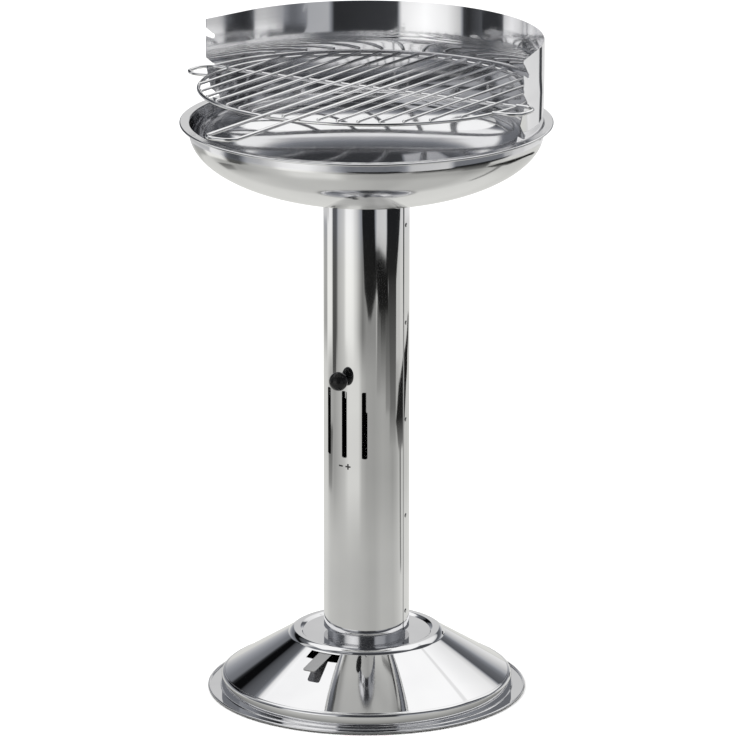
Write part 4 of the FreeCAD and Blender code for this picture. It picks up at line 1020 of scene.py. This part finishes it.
# ---------------------------------------------------------------- shutter lever: a flat strip with one bend
def strip(name, path, half, thick, tip_r):
    path = [np.array(p, float) for p in path]
    d = [0.0]
    for a, b in zip(path, path[1:]):
        d.append(d[-1] + float(np.linalg.norm(b - a)))
    total = d[-1]
    stations = sorted({*d, *(total - tip_r * (1 - math.sin(rad(a))) for a in range(0, 91, 10)),
                       *(tip_r * (1 - math.sin(rad(a))) for a in range(0, 91, 10)), *np.linspace(0, total, 30)})
    bits, verts = [], []
    c = 0.22
    for s in stations:
        i = max(0, min(len(path) - 2, int(np.searchsorted(d, s, side="right") - 1)))
        u = (s - d[i]) / (d[i + 1] - d[i])
        p = path[i] + (path[i + 1] - path[i]) * u
        t = path[i + 1] - path[i]
        t /= np.linalg.norm(t)
        # the direction turns over the few millimetres round the bend
        for j in range(1, len(path) - 1):
            w = abs(s - d[j])
            if w < 1e-6:
                t = (path[j + 1] - path[j]) / np.linalg.norm(path[j + 1] - path[j]) + (path[j] - path[j - 1]) / np.linalg.norm(path[j] - path[j - 1])
                t /= np.linalg.norm(t)
        nrm = np.cross(np.array([1.0, 0, 0]), t)
        nrm = nrm if nrm[2] > 0 else -nrm
        w = half
        for e in (s, total - s):
            if e < tip_r:
                w = min(w, half - tip_r + math.sqrt(max(tip_r**2 - (tip_r - e) ** 2, 0.0)))
        h = thick / 2
        for x, y in ((-w + c, -h), (w - c, -h), (w, -h + c), (w, h - c), (w - c, h), (-w + c, h), (-w, h - c), (-w, -h + c)):
            verts.append(p + np.array([1.0, 0, 0]) * x + nrm * y)
    n, faces = 8, []
    m = len(stations)
    for i in range(m - 1):
        for j in range(n):
            k = (j + 1) % n
            faces.append((i * n + j, i * n + k, (i + 1) * n + k, (i + 1) * n + j))
    faces.append(tuple(range(n - 1, -1, -1)))
    faces.append(tuple((m - 1) * n + j for j in range(n)))
    me = joined(name, [(verts, faces)], 30)
    P = np.array(verts)
    vol = 0.0
    for f in faces:
        for k in range(1, len(f) - 1):
            vol += float(np.dot(P[f[0]], np.cross(P[f[k]], P[f[k + 1]])))
    if vol < 0:
        me.flip_normals()
    return me


LZ = 68.85
pts = [(0, -13, LZ), (0, -86, LZ)]
for a in range(1, 15):
    q = rad(a)
    pts.append((0, -86 - 30.4 * math.sin(q), LZ - 30.4 * (1 - math.cos(q))))
tip_y, tip_z = -138.0 + 0.2, 55.9884 + 0.05
pts.append((0, tip_y, tip_z))
lever = strip("shutter_lever_strip", pts, 9.0, 1.5, 3.0)
place(lever, "shutter_lever_strip", "ash_shutter", "strip", "shutter_lever")

# ---------------------------------------------------------------- cooking grid
P_BAR, SHIFT, GR, GZ, BARZ, RODY, LOOPZ, HANZ = 22.5, 3.0, 204.3, 761.7, 765.1, 7.2, 763.2, 765.3
TILT = rad(1.15)


def laid(bits):
    """The welded grid as it lies in its notches: a little turned about the axis and lower at the back."""
    turn = np.array([[ct, -st, 0], [st, ct, 0], [0, 0, 1]])
    c, s = math.cos(TILT), math.sin(TILT)
    fall = np.array([[1, 0, 0], [0, c, s], [0, -s, c]])
    pivot = np.array([0, 0, GZ])
    return [((np.asarray(v, float) - pivot) @ (fall @ turn).T + pivot, f) for v, f in bits]


def bar(x, z, r, half, sway=0.25):
    """A straight bar along Y that is very slightly out of true, as cut wire is."""
    n = 13
    u = np.linspace(-1, 1, n)
    amp, ph = rng.uniform(0.3, 1.0) * sway, rng.uniform(0, 2 * math.pi)
    dx = amp * np.sin(u * math.pi * 0.9 + ph) * (1 - u * u)
    return wire(np.stack([x + dx, u * half, np.full(n, z)], 1), r, 14)


def grid_piece(name, bits, key, node):
    place(joined(name, laid(bits)), name, "cooking_grid", key, node)


grid_piece("grid_ring_wire", [hoop(GR, 2.3, GZ)], "wire", "grid_ring")
bits = []
for k in (-8, -7, -6, -5, -4, -3, -2, 0, 2, 3, 4, 5, 6, 7, 8):
    x = P_BAR * k + SHIFT
    half = math.sqrt(GR * GR - x * x)
    bits.append(bar(x, BARZ, 1.75, half))
    for s in (-1, 1):
        bits.append(blob((x, s * (half - 1.2), 763.8), 2.2, 2.4, 0.6))
    bits.append(blob((x, RODY, 763.7), 2.0, 2.3, 0.5))
grid_piece("grid_bar_wires", bits, "wire", "grid_bars")

rod_x = math.sqrt(GR * GR - RODY**2)
bits = [wire(np.stack([np.linspace(-rod_x, rod_x, 25), np.full(25, RODY), np.full(25, GZ)], 1), 2.3, 16)]
grid_piece("grid_cross_rod_wire", bits, "wire", "grid_cross_rod")
loop_in = math.sqrt(GR * GR - 44.0**2)
for name, s in (("left", -1), ("right", 1)):
    path = run([
        (s * rod_x, RODY, LOOPZ), ((s * 234.5, RODY, LOOPZ), 20.0), ((s * 234.5, -44, LOOPZ), 20.0), (s * loop_in, -44, LOOPZ),
    ])
    grid_piece("grid_loop_%s_wire" % name, [wire(path, 2.3, 16)], "wire", "grid_loop_%s" % name)
HL, HR = SHIFT - 20.8, SHIFT + 20.8
back_l, back_r = math.sqrt(GR * GR - HL * HL), math.sqrt(GR * GR - HR * HR)
path = run([
    (HL, back_l, HANZ), ((HL, -354, HANZ), 16.0), ((HR, -354, HANZ), 16.0), (HR, back_r, HANZ),
])
bits = [wire(path, 2.3, 18)]
for x, e in ((HL, back_l), (HR, back_r)):
    for yy in (e - 1.4, 1.4 - e):
        bits.append(blob((x, yy, 763.8), 2.6, 2.6, 0.6))
    bits.append(blob((x, RODY, 763.8), 2.4, 2.4, 0.5))
grid_piece("grid_handle_wire", bits, "wire", "grid_front_handle")

# charcoal grate
bits = [hoop(100.0, 2.5, 639.3, 160)]
place(joined("charcoal_ring_wire", bits), "charcoal_ring_wire", "charcoal_grate", "grate", "charcoal_grate_ring")
bits = []
for k in range(-5, 6):
    x = 18.0 * k
    half = math.sqrt(100.0**2 - x * x)
    bits.append(bar(x, 643.5, 2.0, half, 0.15))
    for s in (-1, 1):
        bits.append(blob((x, s * (half - 1.0), 641.7), 2.3, 2.3, 0.6))
place(joined("charcoal_bar_wires", bits), "charcoal_bar_wires", "charcoal_grate", "grate", "charcoal_grate_bars")

# ---------------------------------------------------------------- damper knob and the plus and minus marks
KNOB = [
    (2.0, 54.6), (5.4, 54.6), (5.4, 66.8 - math.sqrt(11.6**2 - 5.4**2), (11.6, True, False)), (0, 78.4), (0, 67.2), (2.0, 67.2),
]
line = Outline(KNOB, width=0.3, soft=80)
me = spun_mesh("knob_raw", line, 64)
shade_spun(me, line)
M = Matrix(((1, 0, 0, 0), (0, 0, -1, 0), (0, 1, 0, 408.0 * MM), (0, 0, 0, 1)))
nrm = np.empty(len(me.loops) * 3)
me.corner_normals.foreach_get("vector", nrm)
R = np.array(M.to_3x3())
me.transform(M)
set_normals(me, nrm.reshape(-1, 3) @ R.T)
place(me, "damper_knob_ball", "air_damper", "knob", "damper_knob")


def curved_plate(poly_cells, r0, r1):
    """Small flat-sided marks laid on the column: cells (x0, x1, z0, z1) across the front."""
    bits = []
    for x0, x1, z0, z1 in poly_cells:
        n = 3
        verts, faces = [], []
        for r in (r0, r1):
            for z in (z0, z1):
                for x in np.linspace(x0, x1, n):
                    a = x / r1
                    verts.append((r * math.sin(a), -r * math.cos(a), z))

        def v(k, j, i):
            return k * 2 * n + j * n + i

        for i in range(n - 1):
            faces.append((v(1, 0, i), v(1, 0, i + 1), v(1, 1, i + 1), v(1, 1, i)))
            faces.append((v(0, 0, i), v(0, 1, i), v(0, 1, i + 1), v(0, 0, i + 1)))
            faces.append((v(0, 0, i), v(0, 0, i + 1), v(1, 0, i + 1), v(1, 0, i)))
            faces.append((v(0, 1, i), v(1, 1, i), v(1, 1, i + 1), v(0, 1, i + 1)))
        faces.append((v(0, 0, 0), v(1, 0, 0), v(1, 1, 0), v(0, 1, 0)))
        faces.append((v(0, 0, n - 1), v(0, 1, n - 1), v(1, 1, n - 1), v(1, 0, n - 1)))
        bits.append((verts, faces))
    return bits


MZ = 296.5
cells = [(-8.0, -2.2, MZ - 1.0, MZ + 1.0)]
cells += [(1.6, 8.6, MZ - 1.0, MZ + 1.0), (4.1, 6.1, MZ + 1.0, MZ + 3.6), (4.1, 6.1, MZ - 3.6, MZ - 1.0)]
place(joined("damper_marks", curved_plate(cells, 52.9, 53.06), 30), "damper_marks", "pedestal", "mark")

# ---------------------------------------------------------------- CAD nodes that stay
KEEP = {
    "shutter_pivot": "bolt", "shutter_spring_washer": "bolt", "shutter_rivets": "bolt", "shutter_disc": "strip",
    "base_bolts": "bolt", "base_washers": "bolt", "base_nuts": "bolt",
    "bowl_bolts": "bolt", "bowl_washers": "bolt", "bowl_nuts": "bolt",
    "windshield_screws": "bolt", "windshield_washers": "bolt", "windshield_nuts": "bolt",
    "damper_sleeve": "sleeve", "damper_stem": "bolt", "damper_nut": "bolt", "damper_spacer": "bolt",
}
for name, key in KEEP.items():
    dress_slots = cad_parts[name]
    if dress_slots.data.materials:
        for i in range(len(dress_slots.material_slots)):
            dress_slots.material_slots[i].material = MAT[key]
    else:
        dress_slots.data.materials.append(MAT[key])

# ---------------------------------------------------------------- camera
AZ, PITCH, DIST, HIGH = 31.0, 15.454, 7.823, 2.572
a, p = rad(AZ), rad(PITCH)
right = Vector((math.cos(a), math.sin(a), 0))
fwd = Vector((-math.sin(a) * math.cos(p), math.cos(a) * math.cos(p), -math.sin(p)))
up = right.cross(fwd)
rot = Matrix((right, up, -fwd)).transposed()
rot = Matrix.Rotation(-math.atan(1.5 / 6596.0), 3, up) @ rot
cam_data = bpy.data.cameras.new("camera")
cam_data.lens = 322.6
cam_data.sensor_width = 36.0
cam_data.clip_end = 200.0
cam = bpy.data.objects.new("camera", cam_data)
cam.matrix_world = Matrix.Translation((math.sin(a) * DIST, -math.cos(a) * DIST, HIGH)) @ rot.to_4x4()
scene.collection.objects.link(cam)
scene.camera = cam

# ---------------------------------------------------------------- stage: pale floor, white surround
floor_me = bpy.data.meshes.new("floor")
S = 60.0
floor_me.from_pydata([(-S, -S, -0.001), (S, -S, -0.001), (S, S, -0.001), (-S, S, -0.001)], [], [(0, 1, 2, 3)])
floor = obj_of("floor", floor_me)
fm = bpy.data.materials.new("pale_floor")
fm.use_nodes = True
fb = fm.node_tree.nodes["Principled BSDF"]
fb.inputs["Base Color"].default_value = (0.96, 0.96, 0.96, 1)
fb.inputs["Roughness"].default_value = 0.9
fb.inputs["Specular IOR Level"].default_value = 0.0
floor_me.materials.append(fm)
floor.visible_glossy = False

world = bpy.data.worlds.new("surround")
scene.world = world
world.use_nodes = True
bg = world.node_tree.nodes["Background"]
bg.inputs["Color"].default_value = (1, 1, 1, 1)
bg.inputs["Strength"].default_value = 1.3

lamp = bpy.data.lights.new("soft_top", "AREA")
lamp.shape = "SQUARE"
lamp.size = 2.4
lamp.energy = 40.0
lo = bpy.data.objects.new("soft_top", lamp)
lo.location = (-1.2, -1.6, 3.2)
lo.rotation_mode = "QUATERNION"
lo.rotation_quaternion = (Vector((0, 0, 0.3)) - Vector(lo.location)).to_track_quat("-Z", "Y")
scene.collection.objects.link(lo)
lo.visible_glossy = False


# ---------------------------------------------------------------- reflectors and flags round the object
# az is the azimuth from the camera's side, positive to the right; s runs along the floor, up the wall, over the ceiling.
WALL_R, CEIL_Z = 2.45, 2.6
NEAR = [(-180, 0.74), (-128, 0.73), (-108, 0.62), (-72, 0.575), (-42, 0.575), (-10, 0.52), (8, 0.47), (22, 0.47),
        (38, 0.54), (73, 0.52), (86, 0.58), (110, 0.75), (180, 0.75)]
MID = [(-180, 0.72), (-128, 0.70), (-112, 0.45), (-93, 0.38), (-79, 0.47), (-60, 0.60), (-48, 0.78), (-21, 0.76),
       (-12, 0.50), (0, 0.40), (20, 0.38), (43, 0.43), (60, 0.41), (73, 0.36), (84, 0.42), (104, 0.62), (130, 0.62), (180, 0.72)]
FAR = [(-180, 0.95), (-150, 0.42), (-131, 0.40), (-125, 0.96), (-106, 0.94), (-100, 0.30), (-97, 0.045), (-89, 0.05),
       (-86, 0.15), (-80, 0.48), (-60, 0.66), (-48, 0.88), (-36, 0.93), (-26, 0.68), (-15, 0.32), (-10, 0.20), (0, 0.30),
       (24, 0.30), (28, 0.66), (52, 0.70), (57, 0.30), (83, 0.26), (87, 0.60), (97, 0.62), (104, 0.72), (180, 0.72)]
BACK_L = [(2.4, 0.70), (2.6, 0.54), (2.8, 0.40), (3.0, 0.30), (3.2, 0.22), (3.42, 0.18), (3.52, 0.03), (3.62, 0.004),
          (3.93, 0.004), (4.02, 0.06), (4.2, 0.10), (4.55, 0.14), (4.70, 0.32), (4.82, 0.95), (5.05, 1.15)]
BACK_R = [(2.4, 0.86), (2.6, 0.79), (2.8, 0.67), (3.0, 0.48), (3.15, 0.24), (3.3, 0.15), (3.58, 0.10), (3.70, 0.70),
          (3.9, 0.92), (4.5, 1.02), (4.98, 1.10), (5.05, 1.10)]
LOW = [(-125, 0.35), (-96, 0.26), (-88, 0.12), (-73, 0.03), (-69, 0.05), (-66, 0.62), (-56, 1.00), (-40, 1.20), (-24, 0.98),
       (-21, 0.05), (22, 0.03), (26, 0.50), (52, 0.44), (62, 0.20), (84, 0.30), (125, 0.16)]
HIGH = [(-125, 0.75), (-106, 0.60), (-98, 0.20), (-78, 0.22), (-66, 0.45), (-28, 0.48), (-18, 0.16), (-12, 0.05), (24, 0.05),
        (34, 0.20), (60, 0.10), (125, 0.07)]
OVER = [(-0.10, 1.10), (-0.03, 1.0), (0.0, 0.80), (0.10, 0.45), (0.20, 0.27), (0.40, 0.18), (0.60, 0.11), (0.80, 0.055), (3.0, 0.045)]
# flags and small reflectors: s range, left edge at both ends, right edge at both ends, brightness at both ends, softness
CARDS = [
    (2.02, 2.58, (-5, -13), (27, 20), (0.014, 0.013), 1.5, 0.02),
    (1.86, 2.04, (5, -5), (12, 27), (0.03, 0.014), 2.0, 0.03),
    (1.44, 1.96, (27, 28), (38, 38), (0.34, 0.09), 4.0, 0.05),
    (1.42, 1.90, (37, 37), (53, 53), (0.40, 0.015), 3.0, 0.04),
    (1.34, 2.00, (52, 52), (67, 67), (0.28, 0.04), 3.0, 0.04),
    (1.89, 2.29, (34, 15), (59, 59), (0.010, 0.010), 2.0, 0.03),
    (2.07, 2.58, (56, 56), (86, 106), (0.02, 0.014), 1.5, 0.03),
    (1.16, 1.36, (64, 64), (84, 84), (0.36, 0.17), 5.0, 0.05),
    (1.34, 2.10, (66, 60), (84, 86), (0.17, 0.03), 3.0, 0.03),
    (1.50, 2.60, (-101, -101), (-88, -87), (0.08, 0.11), 2.0, 0.05),
    (1.70, 2.60, (-58, -58), (-38, -38), (0.98, 1.05), 12.0, 0.20),
    (2.23, 2.31, (50, 26), (54, 53), (0.66, 0.66), 1.5, 0.02),
    (1.60, 2.08, (86, 86), (98, 98), (0.62, 0.62), 2.0, 0.04),
    (1.64, 1.82, (122, 143), (146, 153), (0.015, 0.06), 3.0, 0.03),
    (1.46, 1.66, (96, 122), (130, 146), (0.010, 0.015), 3.0, 0.02),
    (1.26, 1.48, (84, 96), (119, 130), (0.02, 0.010), 3.0, 0.02),
    (1.13, 1.28, (94, 84), (113, 119), (0.20, 0.02), 4.0, 0.05),
    (0.55, 1.16, (99, 98), (104, 104), (0.25, 0.18), 2.0, 0.05),
    (0.92, 1.24, (-120, -121), (-104, -100), (0.30, 0.12), 6.0, 0.06),
    (2.58, 2.67, (-13, -13), (23, 23), (0.26, 0.26), 2.0, 0.02),
    (2.58, 2.70, (56, 56), (96, 96), (0.22, 0.22), 3.0, 0.02),
    (2.56, 2.92, (148, 148), (156, 156), (0.05, 0.05), 1.5, 0.03),
    (5.55, 6.17, (-62, -58), (-28, -30), (0.45, 0.52), 4.0, 0.05),
    (5.10, 5.26, (122, 116), (146, 140), (0.88, 0.88), 3.0, 0.05),
]


def ease(x):
    x = np.clip(x, 0, 1)
    return x * x * (3 - 2 * x)


def table(x, rows):
    return np.interp(x, [t[0] for t in rows], [t[1] for t in rows])


def glow(az, s):
    """Brightness of the surround, for arrays of azimuth and path length."""
    near, mid, far = table(az, NEAR), table(az, MID), table(az, FAR)
    g = near + (mid - near) * ease((s - 0.6) / 0.45)
    g = g + (far - g) * ease((s - 1.50) / 0.30)
    side = np.where(az < 0, table(s, BACK_L), table(s, BACK_R))
    side = side + (np.interp(s, [2.4, 3.6, 4.4, 5.0], [0.64, 0.66, 0.80, 1.10]) - side) * ease((np.abs(az) - 166) / 3.0)
    high = table(az, LOW) + (table(az, HIGH) - table(az, LOW)) * ease((s - 3.2) / 0.5)
    wall = high + (side - high) * ease((np.abs(az) - 116) / 4.0)
    g = g + (wall - g) * ease((s - np.where(np.abs(az) > 118, 2.38, 2.62)) / 0.08)
    r = np.maximum(WALL_R + WALL_R + CEIL_Z - s, 0)
    yc, xc = r * np.cos(np.radians(az)), np.abs(r * np.sin(np.radians(az)))
    over = table(yc - np.interp(xc, [0, 0.6, 1.0, 1.4], [0.42, 0.34, 0.23, 0.19]), OVER)
    g = g + (over - g) * ease((s - (WALL_R + CEIL_Z) + 0.15) / 0.3)
    g = np.where(s < 0.19, 0.0, g)
    for s0, s1, left, right, val, sa, sd in CARDS:
        t = np.clip((s - s0) / (s1 - s0), 0, 1)
        lo, hi = left[0] + (left[1] - left[0]) * t, right[0] + (right[1] - right[0]) * t
        m = ease((az - lo) / sa + 0.5) * ease((hi - az) / sa + 0.5) * ease((s - s0) / sd + 0.5) * ease((s1 - s) / sd + 0.5)
        g = g + (val[0] + (val[1] - val[0]) * t - g) * m
    return g


def studio():
    n = 720
    ss = np.concatenate([np.linspace(0.02, 0.80, 24), np.linspace(0.82, WALL_R, 136), np.linspace(WALL_R + 0.01, 2.75, 26),
                         np.linspace(2.78, WALL_R + CEIL_Z, 84), WALL_R + CEIL_Z + np.linspace(0.03, WALL_R - 0.02, 78)])
    az = -180 + 360.0 * np.arange(n) / n
    S, A = np.meshgrid(ss, az, indexing="ij")
    r = np.where(S <= WALL_R, S, np.where(S <= WALL_R + CEIL_Z, WALL_R, 2 * WALL_R + CEIL_Z - S))
    z = np.where(S <= WALL_R, -0.0005, np.where(S <= WALL_R + CEIL_Z, S - WALL_R, CEIL_Z))
    psi = np.radians(A + AZ)
    verts = np.stack([r * np.sin(psi), -r * np.cos(psi), z], -1).reshape(-1, 3)
    g = glow(A, S)
    # the floor throws warm light, the dark front of the room cool light
    warm = ease((2.5 - S) / 0.4)
    cool = (1 - warm) * ease((0.7 - g) / 0.5)
    tint = np.stack([g * (1 + 0.004 * warm - 0.05 * cool), g * (1 + 0.004 * warm - 0.01 * cool),
                     g * (1 - 0.035 * warm + 0.08 * cool), np.ones_like(g)], -1)
    faces = []
    for i in range(len(ss) - 1):
        for j in range(n):
            k = (j + 1) % n
            faces.append((i * n + j, i * n + k, (i + 1) * n + k, (i + 1) * n + j))
    faces.append(tuple(range(n)))
    faces.append(tuple((len(ss) - 1) * n + j for j in range(n)))
    me = bpy.data.meshes.new("studio")
    me.from_pydata(verts.tolist(), [], faces)
    at = me.attributes.new("glow", "FLOAT_COLOR", "POINT")
    at.data.foreach_set("color", tint.reshape(-1))
    o = obj_of("studio", me)
    m = bpy.data.materials.new("studio_glow")
    m.use_nodes = True
    nt = m.node_tree
    nt.nodes.clear()
    out = nt.nodes.new("ShaderNodeOutputMaterial")
    em = nt.nodes.new("ShaderNodeEmission")
    an = nt.nodes.new("ShaderNodeAttribute")
    an.attribute_type = "GEOMETRY"
    an.attribute_name = "glow"
    em.inputs["Strength"].default_value = 1.0
    nt.links.new(an.outputs["Color"], em.inputs["Color"])
    nt.links.new(em.outputs[0], out.inputs["Surface"])
    if hasattr(m, "cycles"):
        m.cycles.emission_sampling = "NONE"
    me.materials.append(m)
    for k in ("visible_camera", "visible_diffuse", "visible_shadow", "visible_transmission", "visible_volume_scatter"):
        setattr(o, k, False)
    return o


studio()

scene.view_settings.view_transform = "Standard"
scene.view_settings.look = "None"
if hasattr(scene, "cycles"):
    scene.cycles.max_bounces = 16
    scene.cycles.glossy_bounces = 12
